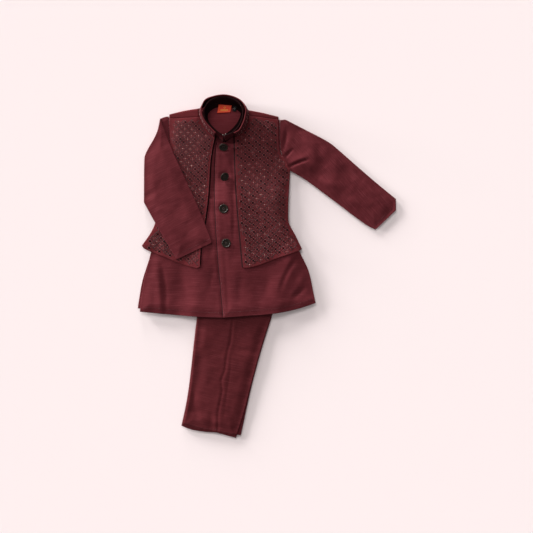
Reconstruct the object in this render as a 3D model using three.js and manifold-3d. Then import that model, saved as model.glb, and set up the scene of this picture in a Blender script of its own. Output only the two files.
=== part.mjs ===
import * as THREE from "three";
import { mergeVertices } from "three/addons/utils/BufferGeometryUtils.js";
import Module from "manifold-3d";

// A child's kurta with an open sleeveless waistcoat over it and a folded pyjama under it,
// laid flat on a surface with the front up, and one sleeve folded across the front.
// Millimetres. X runs from the centre front towards the wearer's left, Y up the garment from
// the middle of the kurta's hem, and Z up from the surface. The last lines move the whole
// suit so that its origin is under the middle of its bounding box.

const wasm = await Module();
wasm.setup();

// Cloth and stacking
const wall = 1.0; // one layer of cloth
const gap = 0.35; // between layers and across seams
const pitch = wall + gap; // from one layer to the next
const tube = 2 * wall + gap; // a sleeve or leg pressed flat
const cell = 24; // the square lattice that all draped layers share
const drapeNear = 12; // cloth keeps its full height this far past what it lies on
const drapeFar = 44; // and is down on the layer below this far past it

// Collars
const kurtaBand = 25; // height of the kurta's standing collar
const vestBand = 26; // height of the waistcoat's standing collar
const bandWall = 2; // interfaced cloth, turned and doubled
const bandSeat = 0.2; // extra room under a collar's edge, where the cloth slopes
const bandSteps = 44;

// Trims
const button = { radius: 10, foot: 8, rim: 1.6, thick: 3.4, dish: 1.3, hole: 1.1, holeAt: 2.6, steps: 16 };
const label = { wide: 30, high: 19, thick: 0.8, x: 0, y: 459.3, turn: -2 };
const sizeTab = { wide: 8, high: 13, thick: 0.8, x: 22.3, y: 459.5, turn: -8 };

// Collar stations from the front end on the wearer's left, round the back, to the other end:
// the seam's place, the top edge's place, and which panel the seam lies on.
const kurtaRing = [
  { x: 0.8, y: 385.5, rimX: 0.8, rimY: 399, on: "front" },
  { x: 19, y: 398.5, rimX: 14.5, rimY: 405, on: "front" },
  { x: 34.5, y: 415.5, rimX: 28, rimY: 419.5, on: "front" },
  { x: 44, y: 436, rimX: 36, rimY: 438, on: "front" },
  { x: 45, y: 453.5, rimX: 39.5, rimY: 456, on: "front" },
  { x: 30, y: 465.5, rimX: 32, rimY: 472, on: "back" },
  { x: 14.5, y: 469.5, rimX: 17.5, rimY: 481.5, on: "back" },
  { x: -1, y: 471, rimX: -1, rimY: 485.5, on: "back" },
  { x: -16.5, y: 470, rimX: -21, rimY: 481.5, on: "back" },
  { x: -30, y: 466, rimX: -35, rimY: 471.5, on: "back" },
  { x: -45, y: 455, rimX: -42.5, rimY: 456, on: "front" },
  { x: -45, y: 437, rimX: -40.5, rimY: 438, on: "front" },
  { x: -36.5, y: 421, rimX: -31, rimY: 424, on: "front" },
  { x: -18.5, y: 401, rimX: -15, rimY: 407, on: "front" },
  { x: -0.8, y: 385.5, rimX: -0.8, rimY: 399, on: "front" },
];
const vestRing = [
  { x: 25, y: 397.5, rimX: 21.5, rimY: 403.5, on: "front" },
  { x: 38, y: 406.5, rimX: 30, rimY: 412.5, on: "front" },
  { x: 48, y: 423, rimX: 38.5, rimY: 428, on: "front" },
  { x: 51.5, y: 440, rimX: 43.5, rimY: 441, on: "front" },
  { x: 51.5, y: 454, rimX: 47, rimY: 457, on: "front" },
  { x: 37, y: 468.5, rimX: 39, rimY: 474.5, on: "back" },
  { x: 19, y: 474.8, rimX: 22, rimY: 485.5, on: "back" },
  { x: -1, y: 476.5, rimX: -1, rimY: 490.3, on: "back" },
  { x: -21, y: 474.5, rimX: -26, rimY: 486, on: "back" },
  { x: -38, y: 468, rimX: -42, rimY: 476, on: "back" },
  { x: -53, y: 456, rimX: -49.5, rimY: 458, on: "front" },
  { x: -53, y: 443.5, rimX: -47, rimY: 444, on: "front" },
  { x: -48.5, y: 431.5, rimX: -41, rimY: 432, on: "front" },
  { x: -41.5, y: 418, rimX: -34.5, rimY: 420.5, on: "front" },
  { x: -31, y: 406, rimX: -25.5, rimY: 411, on: "front" },
  { x: -22, y: 397.5, rimX: -18.5, rimY: 404, on: "front" },
];

// Edges that two or more pieces share. A row with bend is passed in a smooth curve.
const armholeLeft = [
  { x: 141, y: 324 },
  { x: 133.5, y: 341, bend: true },
  { x: 124.5, y: 362, bend: true },
  { x: 121.8, y: 390, bend: true },
  { x: 121.5, y: 434.2 },
];
const armholeRight = [
  { x: -121.5, y: 441.5 },
  { x: -122.5, y: 391, bend: true },
  { x: -125, y: 362, bend: true },
  { x: -132, y: 342, bend: true },
  { x: -139.5, y: 322 },
];
const placketEdge = [
  { x: -18, y: 380 },
  { x: -21.2, y: 325, bend: true },
  { x: -20.5, y: 250, bend: true },
  { x: -14.8, y: 145, bend: true },
  { x: -1.8, y: 0 },
];
const vestSideLeft = [
  { x: 170.3, y: 151 },
  { x: 155.8, y: 181, bend: true },
  { x: 141.6, y: 208, bend: true },
  { x: 140.1, y: 233, bend: true },
  { x: 141.2, y: 266.5, bend: true },
  { x: 144.5, y: 324.7 },
];
const vestSideRight = [
  { x: -144, y: 325 },
  { x: -144, y: 270, bend: true },
  { x: -146.5, y: 232, bend: true },
  { x: -152.5, y: 207, bend: true },
  { x: -162, y: 186, bend: true },
  { x: -181.5, y: 158.2 },
];
const vestArmholeLeft = [
  { x: 144.5, y: 324.7 },
  { x: 133.1, y: 346.7, bend: true },
  { x: 122.1, y: 363.2, bend: true },
  { x: 118.8, y: 390.7, bend: true },
];
const vestArmholeRight = [
  { x: -119.5, y: 391, bend: true },
  { x: -122, y: 364, bend: true },
  { x: -133, y: 347, bend: true },
  { x: -144, y: 325 },
];
const foldEdge = [
  { x: -141, y: 437 },
  { x: -149, y: 404, bend: true },
  { x: -172, y: 362, bend: true },
  { x: -175.8, y: 340, bend: true },
  { x: -176.4, y: 252.5 },
];

const bent = (rows) => rows.map((row) => ({ x: row.x, y: row.y, bend: true }));
const shifted = (rows, dx) => rows.map((row) => ({ ...row, x: row.x + dx }));

// Outlines of the pieces, each a closed run of rows
const kurtaHemLeft = [
  { x: -1.8, y: 0 },
  { x: 45, y: 3.5, bend: true },
  { x: 106.5, y: 8.4, bend: true },
  { x: 157, y: 18, bend: true },
  { x: 200.4, y: 32 },
];
const kurtaSideLeft = [
  { x: 196, y: 52, bend: true },
  { x: 185, y: 102.5, bend: true },
  { x: 165.2, y: 144.5, bend: true },
  { x: 142, y: 200, bend: true },
  { x: 135.5, y: 250, bend: true },
  { x: 136.5, y: 300, bend: true },
];
const kurtaSideRight = [
  { x: -136.5, y: 300, bend: true },
  { x: -135.5, y: 250, bend: true },
  { x: -144, y: 197, bend: true },
  { x: -161.7, y: 143, bend: true },
  { x: -168, y: 115, bend: true },
  { x: -178, y: 75, bend: true },
];
const underPanel = outline([
  { x: 22, y: 2 },
  { x: 22, y: 395.5 },
  { x: -0.8, y: 385.5 },
  ...bent(kurtaRing.slice(11, 14)).reverse(),
  { x: -45, y: 455 },
  ...armholeRight,
  ...kurtaSideRight,
  { x: -185.5, y: 12.8 },
  { x: -123.5, y: 7.2, bend: true },
  { x: -62, y: 2, bend: true },
  { x: -1.8, y: 0 },
]);
const overPanel = outline([
  ...kurtaHemLeft,
  ...kurtaSideLeft,
  ...armholeLeft,
  { x: 45, y: 453.5 },
  ...bent(kurtaRing.slice(1, 4)).reverse(),
  { x: 0.8, y: 385.5 },
  { x: -12, y: 393.5 },
  ...placketEdge,
]);
const placket = outline([...placketEdge, { x: 22, y: 2 }, { x: 22, y: 398 }]);
const kurtaBackPanel = outline([
  { x: -190.5, y: 20.5 },
  { x: -120, y: 14, bend: true },
  { x: 0, y: 8, bend: true },
  { x: 110, y: 16, bend: true },
  { x: 197.5, y: 37 },
  ...shifted(kurtaSideLeft, -1.5),
  ...armholeLeft,
  { x: 45, y: 454 },
  ...bent(kurtaRing.slice(5, 10)),
  { x: -45, y: 455.5 },
  ...armholeRight,
  ...shifted(kurtaSideRight, 1.5).slice(0, 3),
  { x: -170, y: 115, bend: true },
  { x: -182, y: 75, bend: true },
]);
const vestFrontLeft = outline([
  { x: 21.5, y: 396.5 },
  { x: 25.5, y: 277, bend: true },
  { x: 40, y: 109.5 },
  { x: 52.6, y: 108.8, bend: true },
  { x: 79.4, y: 115.9, bend: true },
  { x: 111, y: 128, bend: true },
  { x: 165, y: 146.5 },
  ...vestSideLeft,
  ...vestArmholeLeft.slice(1),
  { x: 118.8, y: 435 },
  { x: 54, y: 443.5 },
  { x: 51.5, y: 440 },
  ...bent(vestRing.slice(1, 3)).reverse(),
  { x: 25, y: 397.5 },
]);
const vestFrontRight = outline([
  { x: -19, y: 399.5 },
  { x: -22, y: 397.5 },
  ...bent(vestRing.slice(12, 15)).reverse(),
  { x: -53, y: 440.5 },
  { x: -121.5, y: 437.5 },
  ...vestArmholeRight,
  ...vestSideRight.slice(1),
  { x: -172.5, y: 149.2, bend: true },
  { x: -130, y: 132.5, bend: true },
  { x: -96, y: 118, bend: true },
  { x: -60.5, y: 107.8 },
  { x: -52.5, y: 111 },
  { x: -50.2, y: 153.6, bend: true },
  { x: -35.4, y: 255.6, bend: true },
  { x: -29, y: 347.4, bend: true },
]);
const shoulderLeft = [
  { x: 118.8, y: 441.3 },
  { x: 100, y: 445.9 },
  { x: 86.9, y: 449.4 },
  { x: 54, y: 455.8 },
];
const shoulderRight = [
  { x: -56, y: 459.8 },
  { x: -90, y: 454.2 },
  { x: -121, y: 446.4 },
];
const vestBackPanel = outline([
  { x: -60, y: 112 },
  { x: 52, y: 112, bend: true },
  { x: 112, y: 130, bend: true },
  ...vestSideLeft,
  ...vestArmholeLeft.slice(1),
  ...shoulderLeft,
  ...bent(vestRing.slice(5, 10)),
  ...shoulderRight,
  ...vestArmholeRight,
  ...vestSideRight.slice(1),
  { x: -130, y: 134, bend: true },
]);
const yokeLeft = outline([...shoulderLeft, { x: 54, y: 443.9 }, { x: 118.8, y: 435.4 }]);
const yokeRight = outline([...shoulderRight, { x: -121.3, y: 437.9 }, { x: -56, y: 440.8 }]);
const sleeveLeftCut = outline([
  ...shifted(armholeLeft, 0.5).reverse(),
  { x: 177, y: 303.5, bend: true },
  { x: 231.7, y: 263.3, bend: true },
  { x: 304.5, y: 208.6, bend: true },
  { x: 332, y: 193.2 },
  { x: 376.9, y: 236.1 },
  { x: 376.9, y: 260.7 },
  { x: 322.7, y: 305.4, bend: true },
  { x: 249.7, y: 369.2, bend: true },
  { x: 226.2, y: 387.2, bend: true },
  { x: 184, y: 409.5, bend: true },
  { x: 134.9, y: 434.7 },
]);
const sleeveRightUnder = outline([
  ...shifted(armholeRight, -0.5),
  ...foldEdge.slice().reverse(),
  { x: -134, y: 440.2, bend: true },
  { x: -127, y: 442.2 },
]);
const sleeveRightOver = outline([
  ...foldEdge,
  { x: -152.2, y: 208.6, bend: true },
  { x: -105.2, y: 127.8 },
  { x: -26.6, y: 164.8 },
  { x: -57.5, y: 243.5, bend: true },
  { x: -111, y: 361, bend: true },
]);
const legOver = outline([
  { x: -94.6, y: -237.2 },
  { x: -75.7, y: -245, bend: true },
  { x: -46.2, y: -250.5, bend: true },
  { x: -18.9, y: -252 },
  { x: 25.3, y: -264.4 },
  { x: 45.5, y: -199, bend: true },
  { x: 59.5, y: -144.5, bend: true },
  { x: 81, y: -66.4, bend: true },
  { x: 104, y: 7, bend: true },
  { x: 122, y: 75, bend: true },
  { x: 126, y: 130, bend: true },
  { x: 114, y: 232 },
  { x: 4, y: 234 },
  { x: -38, y: 130, bend: true },
  { x: -60.3, y: 2, bend: true },
  { x: -78.8, y: -157, bend: true },
]);
const legUnder = outline([
  { x: -90, y: -232 },
  { x: -45, y: -246, bend: true },
  { x: 35.9, y: -258.5 },
  { x: 48.6, y: -199, bend: true },
  { x: 61.2, y: -144.5, bend: true },
  { x: 82.4, y: -66.4, bend: true },
  { x: 105.5, y: 7, bend: true },
  { x: 124, y: 75, bend: true },
  { x: 128, y: 130, bend: true },
  { x: 115, y: 232 },
  { x: 3, y: 234 },
  { x: -37, y: 130, bend: true },
  { x: -59, y: 2, bend: true },
  { x: -75.5, y: -157, bend: true },
]);
const waistbandCut = outline([
  { x: 3, y: 234.6 },
  { x: 115, y: 232.6 },
  { x: 112, y: 262 },
  { x: 6, y: 264 },
]);

// The largest folds, each a soft ridge from one point to another
const folds = [
  { x1: -163, y1: 118, x2: -172, y2: 30, wide: 26, high: 2.6 }, // kurta's skirt, wearer's right
  { x1: -120, y1: 112, x2: -116, y2: 20, wide: 28, high: 2.2 },
  { x1: 150, y1: 128, x2: 108, y2: 40, wide: 30, high: 2.4 }, // skirt, wearer's left
  { x1: 181, y1: 96, x2: 160, y2: 40, wide: 22, high: 1.8 },
  { x1: 30, y1: 96, x2: 40, y2: 20, wide: 34, high: 1.2 },
  { x1: 158, y1: 345, x2: 215, y2: 352, wide: 24, high: 4.2 }, // left sleeve, from the armhole
  { x1: 150, y1: 395, x2: 166, y2: 372, wide: 20, high: 2.6 },
  { x1: 245, y1: 340, x2: 236, y2: 285, wide: 28, high: 2.8 },
  { x1: 176, y1: 388, x2: 210, y2: 374, wide: 24, high: 2.2 },
];

// A closed outline as points, from rows joined by straight lines or, at bends, by one curve.
function outline(rows) {
  const shape = new THREE.Shape();
  shape.moveTo(rows[0].x, rows[0].y);
  let run = [];
  for (const row of [...rows.slice(1), rows[0]]) {
    run.push(new THREE.Vector2(row.x, row.y));
    if (row.bend) continue;
    if (run.length > 1) shape.splineThru(run);
    else shape.lineTo(row.x, row.y);
    run = [];
  }
  const points = shape.getPoints(3);
  const apart = points.filter((p, i) => p.distanceTo(points[(i + 1) % points.length]) > 0.01);
  return THREE.ShapeUtils.area(apart) < 0 ? apart.reverse() : apart;
}

// Distance from a point to an outline, negative inside it.
function distance(points, x, y) {
  let nearest = Infinity;
  let inside = false;
  points.forEach((a, i) => {
    const b = points[(i + 1) % points.length];
    nearest = Math.min(nearest, toSegment(x, y, a.x, a.y, b.x, b.y));
    if (a.y > y !== b.y > y && x < a.x + ((y - a.y) * (b.x - a.x)) / (b.y - a.y)) inside = !inside;
  });
  return inside ? -nearest : nearest;
}

function toSegment(x, y, x1, y1, x2, y2) {
  const along = ((x - x1) * (x2 - x1) + (y - y1) * (y2 - y1)) / ((x2 - x1) ** 2 + (y2 - y1) ** 2);
  const t = THREE.MathUtils.clamp(along, 0, 1);
  return Math.hypot(x - x1 - t * (x2 - x1), y - y1 - t * (y2 - y1));
}

// How far a layer above an outline is held up by it: 1 over it, and 0 well past its edge.
function cover(points) {
  const known = new Map();
  return (x, y) => {
    const key = x + "," + y;
    if (!known.has(key)) {
      const off = distance(points, x, y);
      known.set(key, 1 - THREE.MathUtils.smoothstep(off, drapeNear, drapeFar));
    }
    return known.get(key);
  };
}

const ridge = (row, x, y) => {
  const off = toSegment(x, y, row.x1, row.y1, row.x2, row.y2) / row.wide;
  return off < 1 ? row.high * (1 - off * off) ** 2 : 0;
};

// Underside of each layer, from the surface upwards
const overLegUnder = cover(legUnder);
const overLegOver = cover(legOver);
const overWaistband = cover(waistbandCut);
const overVestBack = cover(vestBackPanel);
const overPlacket = cover(placket);
const overVestFront = cover(vestFrontRight);
const level = {
  floor: () => 0,
  legOver: (x, y) => (tube + gap) * overLegUnder(x, y),
  vestBack: (x, y) =>
    (tube + gap) *
    (Math.max(overLegUnder(x, y), overWaistband(x, y)) +
      Math.max(overLegOver(x, y), overWaistband(x, y))),
  kurtaBack: (x, y) => level.vestBack(x, y) + pitch * overVestBack(x, y),
  underPanel: (x, y) =>
    level.kurtaBack(x, y) + pitch + folds.reduce((sum, row) => sum + ridge(row, x, y), 0),
  overPanel: (x, y) => level.underPanel(x, y) + pitch * overPlacket(x, y),
  vestFront: (x, y) => level.overPanel(x, y) + pitch,
  foldedSleeve: (x, y) => level.vestFront(x, y) + pitch * overVestFront(x, y),
};
const above = (base, rise) => (x, y) => base(x, y) + rise;

// Height of a draped layer at any place: each lattice cell is two flat triangles.
function drapedHeight(height, x, y) {
  const i = Math.floor(x / cell);
  const j = Math.floor(y / cell);
  const u = x / cell - i;
  const v = y / cell - j;
  const corner = (m, n) => height((i + m) * cell, (j + n) * cell);
  const [near, far] = [corner(0, 0), corner(1, 1)];
  if (u > v) return near + u * (corner(1, 0) - near) + v * (far - corner(1, 0));
  return near + v * (corner(0, 1) - near) + u * (far - corner(0, 1));
}

function solidOf(geometry) {
  const bare = new THREE.BufferGeometry();
  bare.setAttribute("position", geometry.getAttribute("position"));
  bare.setIndex(geometry.getIndex());
  const merged = mergeVertices(bare, 1e-4);
  return new wasm.Manifold(
    new wasm.Mesh({
      numProp: 3,
      vertProperties: merged.attributes.position.array,
      triVerts: new Uint32Array(merged.index.array),
    }),
  );
}

function geometryOf(solid) {
  const mesh = solid.getMesh();
  const geometry = new THREE.BufferGeometry();
  geometry.setAttribute("position", new THREE.BufferAttribute(mesh.vertProperties, 3));
  geometry.setIndex(new THREE.BufferAttribute(mesh.triVerts, 1));
  const flat = geometry.toNonIndexed();
  flat.computeVertexNormals();
  return flat;
}

// An upright prism of an outline, taller than anything it cuts.
function prism(points) {
  const reach = 60;
  const shape = new THREE.Shape(points);
  const made = new THREE.ExtrudeGeometry(shape, { depth: 2 * reach, bevelEnabled: false });
  made.translate(0, 0, -reach);
  return solidOf(made);
}

// The block between two heights over the lattice cells that an outline touches, cut to it.
function drape(points, low, high) {
  const box = new THREE.Box2().setFromPoints(points);
  const i0 = Math.floor(box.min.x / cell) - 1;
  const j0 = Math.floor(box.min.y / cell) - 1;
  const columns = Math.ceil(box.max.x / cell) + 1 - i0;
  const rows = Math.ceil(box.max.y / cell) + 1 - j0;
  const position = [];
  const index = [];
  for (const height of [low, high])
    for (let j = 0; j <= rows; j++)
      for (let i = 0; i <= columns; i++) {
        const x = (i0 + i) * cell;
        const y = (j0 + j) * cell;
        position.push(x, y, height(x, y));
      }
  const layer = (columns + 1) * (rows + 1);
  const at = (i, j, k) => k * layer + j * (columns + 1) + i;
  for (let j = 0; j < rows; j++)
    for (let i = 0; i < columns; i++) {
      const corner = (k) => [at(i, j, k), at(i + 1, j, k), at(i + 1, j + 1, k), at(i, j + 1, k)];
      const [a, b, c, d] = corner(1);
      const [e, f, g, h] = corner(0);
      index.push(a, b, c, a, c, d, e, g, f, e, h, g);
    }
  const side = (i, j, m, n) => {
    index.push(at(i, j, 0), at(m, n, 0), at(m, n, 1), at(i, j, 0), at(m, n, 1), at(i, j, 1));
  };
  for (let i = 0; i < columns; i++) {
    side(i, 0, i + 1, 0);
    side(i + 1, rows, i, rows);
  }
  for (let j = 0; j < rows; j++) {
    side(columns, j, columns, j + 1);
    side(0, j + 1, 0, j);
  }
  const block = new THREE.BufferGeometry();
  block.setAttribute("position", new THREE.Float32BufferAttribute(position, 3));
  block.setIndex(index);
  return solidOf(block).intersect(prism(points));
}

// An outline moved inwards by a distance.
function inset(points, by) {
  return points.map((p, i) => {
    const before = points[(i + points.length - 1) % points.length];
    const after = points[(i + 1) % points.length];
    const into = p.clone().sub(before).normalize();
    const out = after.clone().sub(p).normalize();
    const normal = new THREE.Vector2(-into.y - out.y, into.x + out.x).normalize();
    const spread = Math.max(0.5, -into.y * normal.x + into.x * normal.y);
    return p.clone().addScaledVector(normal, by / spread);
  });
}

// A strip on the inner side of a run of rows, for a turned edge or a mouth.
function strip(rows, inner, outer = 0) {
  const run = rows.map((row) => new THREE.Vector2(row.x, row.y));
  const curve = new THREE.SplineCurve(run);
  const steps = 4 * (run.length - 1);
  const offset = (by) =>
    Array.from({ length: steps + 1 }, (_, i) => {
      const tangent = curve.getTangent(i / steps);
      const normal = new THREE.Vector2(-tangent.y, tangent.x);
      return curve.getPoint(i / steps).addScaledVector(normal, by);
    });
  const points = [...offset(-outer), ...offset(inner).reverse()];
  return THREE.ShapeUtils.area(points) < 0 ? points.reverse() : points;
}

// Two layers of cloth joined at their edges and open at the mouths.
function flatTube(points, low, high, mouths, thick = wall) {
  const mouthReach = 6;
  let hollow = drape(inset(points, thick), above(low, thick), above(high, -thick));
  for (const mouth of mouths) {
    const cut = strip(mouth, mouthReach, mouthReach);
    hollow = hollow.add(drape(cut, above(low, thick), above(high, -thick)));
  }
  return drape(points, low, high).subtract(hollow);
}

function makeVestBack() {
  let back = drape(vestBackPanel, level.vestBack, above(level.vestBack, wall));
  for (const [edge, yoke] of [
    [shoulderLeft, yokeLeft],
    [shoulderRight, yokeRight],
  ]) {
    const turned = drape(strip(edge, wall), level.vestBack, above(level.vestFront, wall));
    back = back.add(turned);
    back = back.add(drape(yoke, level.vestFront, above(level.vestFront, wall)));
  }
  return back;
}

// A front whose side edge turns down to meet the back.
function makeVestFront(points, side) {
  const front = drape(points, level.vestFront, above(level.vestFront, wall));
  const turned = drape(strip(side, wall), above(level.vestBack, pitch), above(level.vestFront, wall));
  return front.add(turned);
}

function makeSleeveLeft() {
  const cuff = [
    { x: 333.4, y: 194.5 },
    { x: 375.6, y: 234.8 },
  ];
  const top = above(level.underPanel, wall);
  return flatTube(sleeveLeftCut, level.kurtaBack, top, [cuff, shortened(armholeLeft)]);
}

function makeSleeveRight() {
  const cuff = [
    { x: -103.6, y: 128.6 },
    { x: -28.2, y: 164 },
  ];
  const shoulder = above(level.underPanel, wall);
  const under = flatTube(sleeveRightUnder, level.kurtaBack, shoulder, [shortened(armholeRight)]);
  const over = flatTube(sleeveRightOver, level.foldedSleeve, above(level.foldedSleeve, tube), [cuff]);
  const fold = drape(strip(foldEdge, wall), level.kurtaBack, above(level.foldedSleeve, tube));
  return under.add(over).add(fold);
}

// A run of rows without its first and last stretch of one wall.
function shortened(rows) {
  const curve = new THREE.SplineCurve(rows.map((row) => new THREE.Vector2(row.x, row.y)));
  const margin = 0.04;
  return Array.from({ length: 9 }, (_, i) => curve.getPointAt(margin + ((1 - 2 * margin) * i) / 8));
}

function makeLeg(points, base, hem) {
  return flatTube(points, base, above(base, tube), [hem]);
}

const hemOver = [
  { x: -93, y: -238.6 },
  { x: -46.2, y: -250.5 },
  { x: 23.6, y: -263.6 },
];
const hemUnder = [
  { x: -88.5, y: -233.5 },
  { x: -45, y: -246 },
  { x: 34, y: -258.5 },
];
const waistMouth = [
  { x: 109, y: 262 },
  { x: 9, y: 264 },
];

// A standing collar, as a wall lofted from its seam to its top edge.
function makeCollar(ring, bandHeight, frontTop, backTop) {
  const seams = [];
  const rims = [];
  for (const { x, y, rimX, rimY, on } of ring) {
    const seat = drapedHeight(on === "front" ? frontTop : backTop, x, y) + gap + bandSeat;
    const lean = Math.hypot(rimX - x, rimY - y);
    seams.push(new THREE.Vector3(x, y, seat));
    rims.push(new THREE.Vector3(rimX, rimY, seat + Math.sqrt(bandHeight ** 2 - lean ** 2)));
  }
  const seam = new THREE.CatmullRomCurve3(seams);
  const rim = new THREE.CatmullRomCurve3(rims);
  const position = [];
  const profile = 6;
  for (let i = 0; i <= bandSteps; i++) {
    const t = i / bandSteps;
    const low = seam.getPoint(t);
    const high = rim.getPoint(t);
    const normal = seam.getTangent(t).cross(high.clone().sub(low)).normalize();
    for (const [side, share] of [[1, 0], [1, 0.5], [1, 1], [-1, 1], [-1, 0.5], [-1, 0]]) {
      const bow = 0.8 * Math.sin(Math.PI * share);
      const p = low.clone().lerp(high, share).addScaledVector(normal, (side * bandWall) / 2 + bow);
      position.push(p.x, p.y, p.z);
    }
  }
  const index = [];
  for (let i = 0; i < bandSteps; i++)
    for (let k = 0; k < profile; k++) {
      const a = i * profile + k;
      const b = i * profile + ((k + 1) % profile);
      index.push(a, b + profile, b, a, a + profile, b + profile);
    }
  const last = bandSteps * profile;
  for (const [a, b, c] of [[0, 1, 2], [0, 2, 3], [0, 3, 4], [0, 4, 5]]) {
    index.push(a, b, c, last + a, last + c, last + b);
  }
  const band = new THREE.BufferGeometry();
  band.setAttribute("position", new THREE.Float32BufferAttribute(position, 3));
  band.setIndex(index);
  return solidOf(band);
}

// A dished button with a raised rim and four sewing holes.
function makeButton() {
  const { radius, foot, rim, thick, dish, hole, holeAt, steps } = button;
  const profile = [
    [0, 0],
    [foot, 0],
    [radius, thick * 0.45],
    [radius - 0.4, thick * 0.85],
    [radius - 1, thick],
    [radius - 1 - rim, thick],
    [radius - 2 - rim, thick - dish],
    [0, thick - dish],
  ];
  const points = profile.map(([r, z]) => new THREE.Vector2(r, z));
  const disc = new THREE.LatheGeometry(points, steps).rotateX(Math.PI / 2);
  let solid = solidOf(disc);
  for (const [sx, sy] of [[1, 1], [-1, 1], [-1, -1], [1, -1]]) {
    const drill = new THREE.CylinderGeometry(hole, hole, 4 * thick, 8).rotateX(Math.PI / 2);
    drill.translate((sx * holeAt) / Math.SQRT2, (sy * holeAt) / Math.SQRT2, 0);
    solid = solid.subtract(solidOf(drill));
  }
  return solid;
}

function tagOutline({ wide, high, x, y, turn }) {
  const angle = THREE.MathUtils.degToRad(turn);
  const middle = new THREE.Vector2(x, y);
  return [[-1, -1], [1, -1], [1, 1], [-1, 1]].map(([sx, sy]) =>
    new THREE.Vector2(x + (sx * wide) / 2, y + (sy * high) / 2).rotateAround(middle, angle),
  );
}

const finish = (color, roughness, metalness = 0) =>
  new THREE.MeshStandardMaterial({ color, roughness, metalness });
const materials = {
  silk: finish(0x5e2229, 0.55),
  embroidered: finish(0x55232a, 0.6),
  button: finish(0x32281f, 0.35),
  label: finish(0xb8401f, 0.6),
  tab: finish(0x0c0a0c, 0.7),
};

const suit = new THREE.Group();

function place(name, solid, material, parent = suit) {
  const mesh = new THREE.Mesh(geometryOf(solid), material);
  mesh.name = name;
  parent.add(mesh);
}

const flatLayer = (points, base) => drape(points, base, above(base, wall));
const kurtaFrontTop = above(level.overPanel, wall);
const kurtaBackTop = above(level.kurtaBack, wall);
const vestFrontTop = above(level.vestFront, wall);
const vestBackTop = above(level.vestBack, wall);
const waistHigh = 2 * tube + gap;
const onKurtaBack = above(level.kurtaBack, pitch);

place("pyjama_leg_right", makeLeg(legUnder, level.floor, hemUnder), materials.silk);
place("pyjama_leg_left", makeLeg(legOver, level.legOver, hemOver), materials.silk);
place(
  "pyjama_waistband",
  flatTube(waistbandCut, level.floor, () => waistHigh, [waistMouth], 2 * wall),
  materials.silk,
);
place("waistcoat_back", makeVestBack(), materials.silk);
place("kurta_back", flatLayer(kurtaBackPanel, level.kurtaBack), materials.silk);
place("kurta_front_right", flatLayer(underPanel, level.underPanel), materials.silk);
place("kurta_front_left", flatLayer(overPanel, level.overPanel), materials.silk);
place("waistcoat_front_right", makeVestFront(vestFrontRight, vestSideRight.slice(1)), materials.embroidered);
place("waistcoat_front_left", makeVestFront(vestFrontLeft, vestSideLeft.slice(0, 5)), materials.embroidered);
place("sleeve_left", makeSleeveLeft(), materials.silk);
place("sleeve_right", makeSleeveRight(), materials.silk);
place("kurta_collar", makeCollar(kurtaRing, kurtaBand, kurtaFrontTop, kurtaBackTop), materials.silk);
place("waistcoat_collar", makeCollar(vestRing, vestBand, vestFrontTop, vestBackTop), materials.silk);
place("neck_label", drape(tagOutline(label), onKurtaBack, above(onKurtaBack, label.thick)), materials.label);
place("size_tab", drape(tagOutline(sizeTab), onKurtaBack, above(onKurtaBack, sizeTab.thick)), materials.tab);

// Buttons from the collar down, with the tilt that each has on its thread, in degrees
const buttonRows = [
  { x: -1.8, y: 374.5, tiltX: 30, tiltY: -4 },
  { x: 0.2, y: 309.3, tiltX: 20, tiltY: 24 },
  { x: -1.5, y: 238.9, tiltX: 3, tiltY: 0 },
  { x: 4, y: 163.5, tiltX: 0, tiltY: 2 },
];
buttonRows.forEach(({ x, y, tiltX, tiltY }, i) => {
  const seat = new THREE.Group();
  seat.rotation.set(THREE.MathUtils.degToRad(tiltX), THREE.MathUtils.degToRad(tiltY), 0);
  let lowest = -Infinity;
  for (let k = 0; k < button.steps; k++) {
    const angle = (2 * Math.PI * k) / button.steps;
    const foot = new THREE.Vector3(Math.cos(angle), Math.sin(angle), 0).multiplyScalar(button.foot);
    foot.applyEuler(seat.rotation);
    lowest = Math.max(lowest, drapedHeight(kurtaFrontTop, x + foot.x, y + foot.y) - foot.z);
  }
  seat.position.set(x, y, lowest + gap);
  place("button_" + (i + 1), makeButton(), materials.button, seat);
  suit.add(seat);
});

// The origin goes under the middle of the bounding box.
const size = new THREE.Box3().setFromObject(suit);
const middle = size.getCenter(new THREE.Vector3());
suit.position.set(-middle.x, -middle.y, 0);

export default suit;
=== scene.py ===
# A child's kurta with an open waistcoat over it and a folded pyjama under it, laid flat.
# Every piece is made over the frame's solids: their outlines and heights give the cloth's
# place, and the creases, seams, stitches, sequins and finishes are added here.

import math
import random
from collections import namedtuple

import bpy
import numpy as np
from mathutils import Euler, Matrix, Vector, noise
from mathutils.bvhtree import BVHTree
from mathutils.geometry import delaunay_2d_cdt


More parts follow.
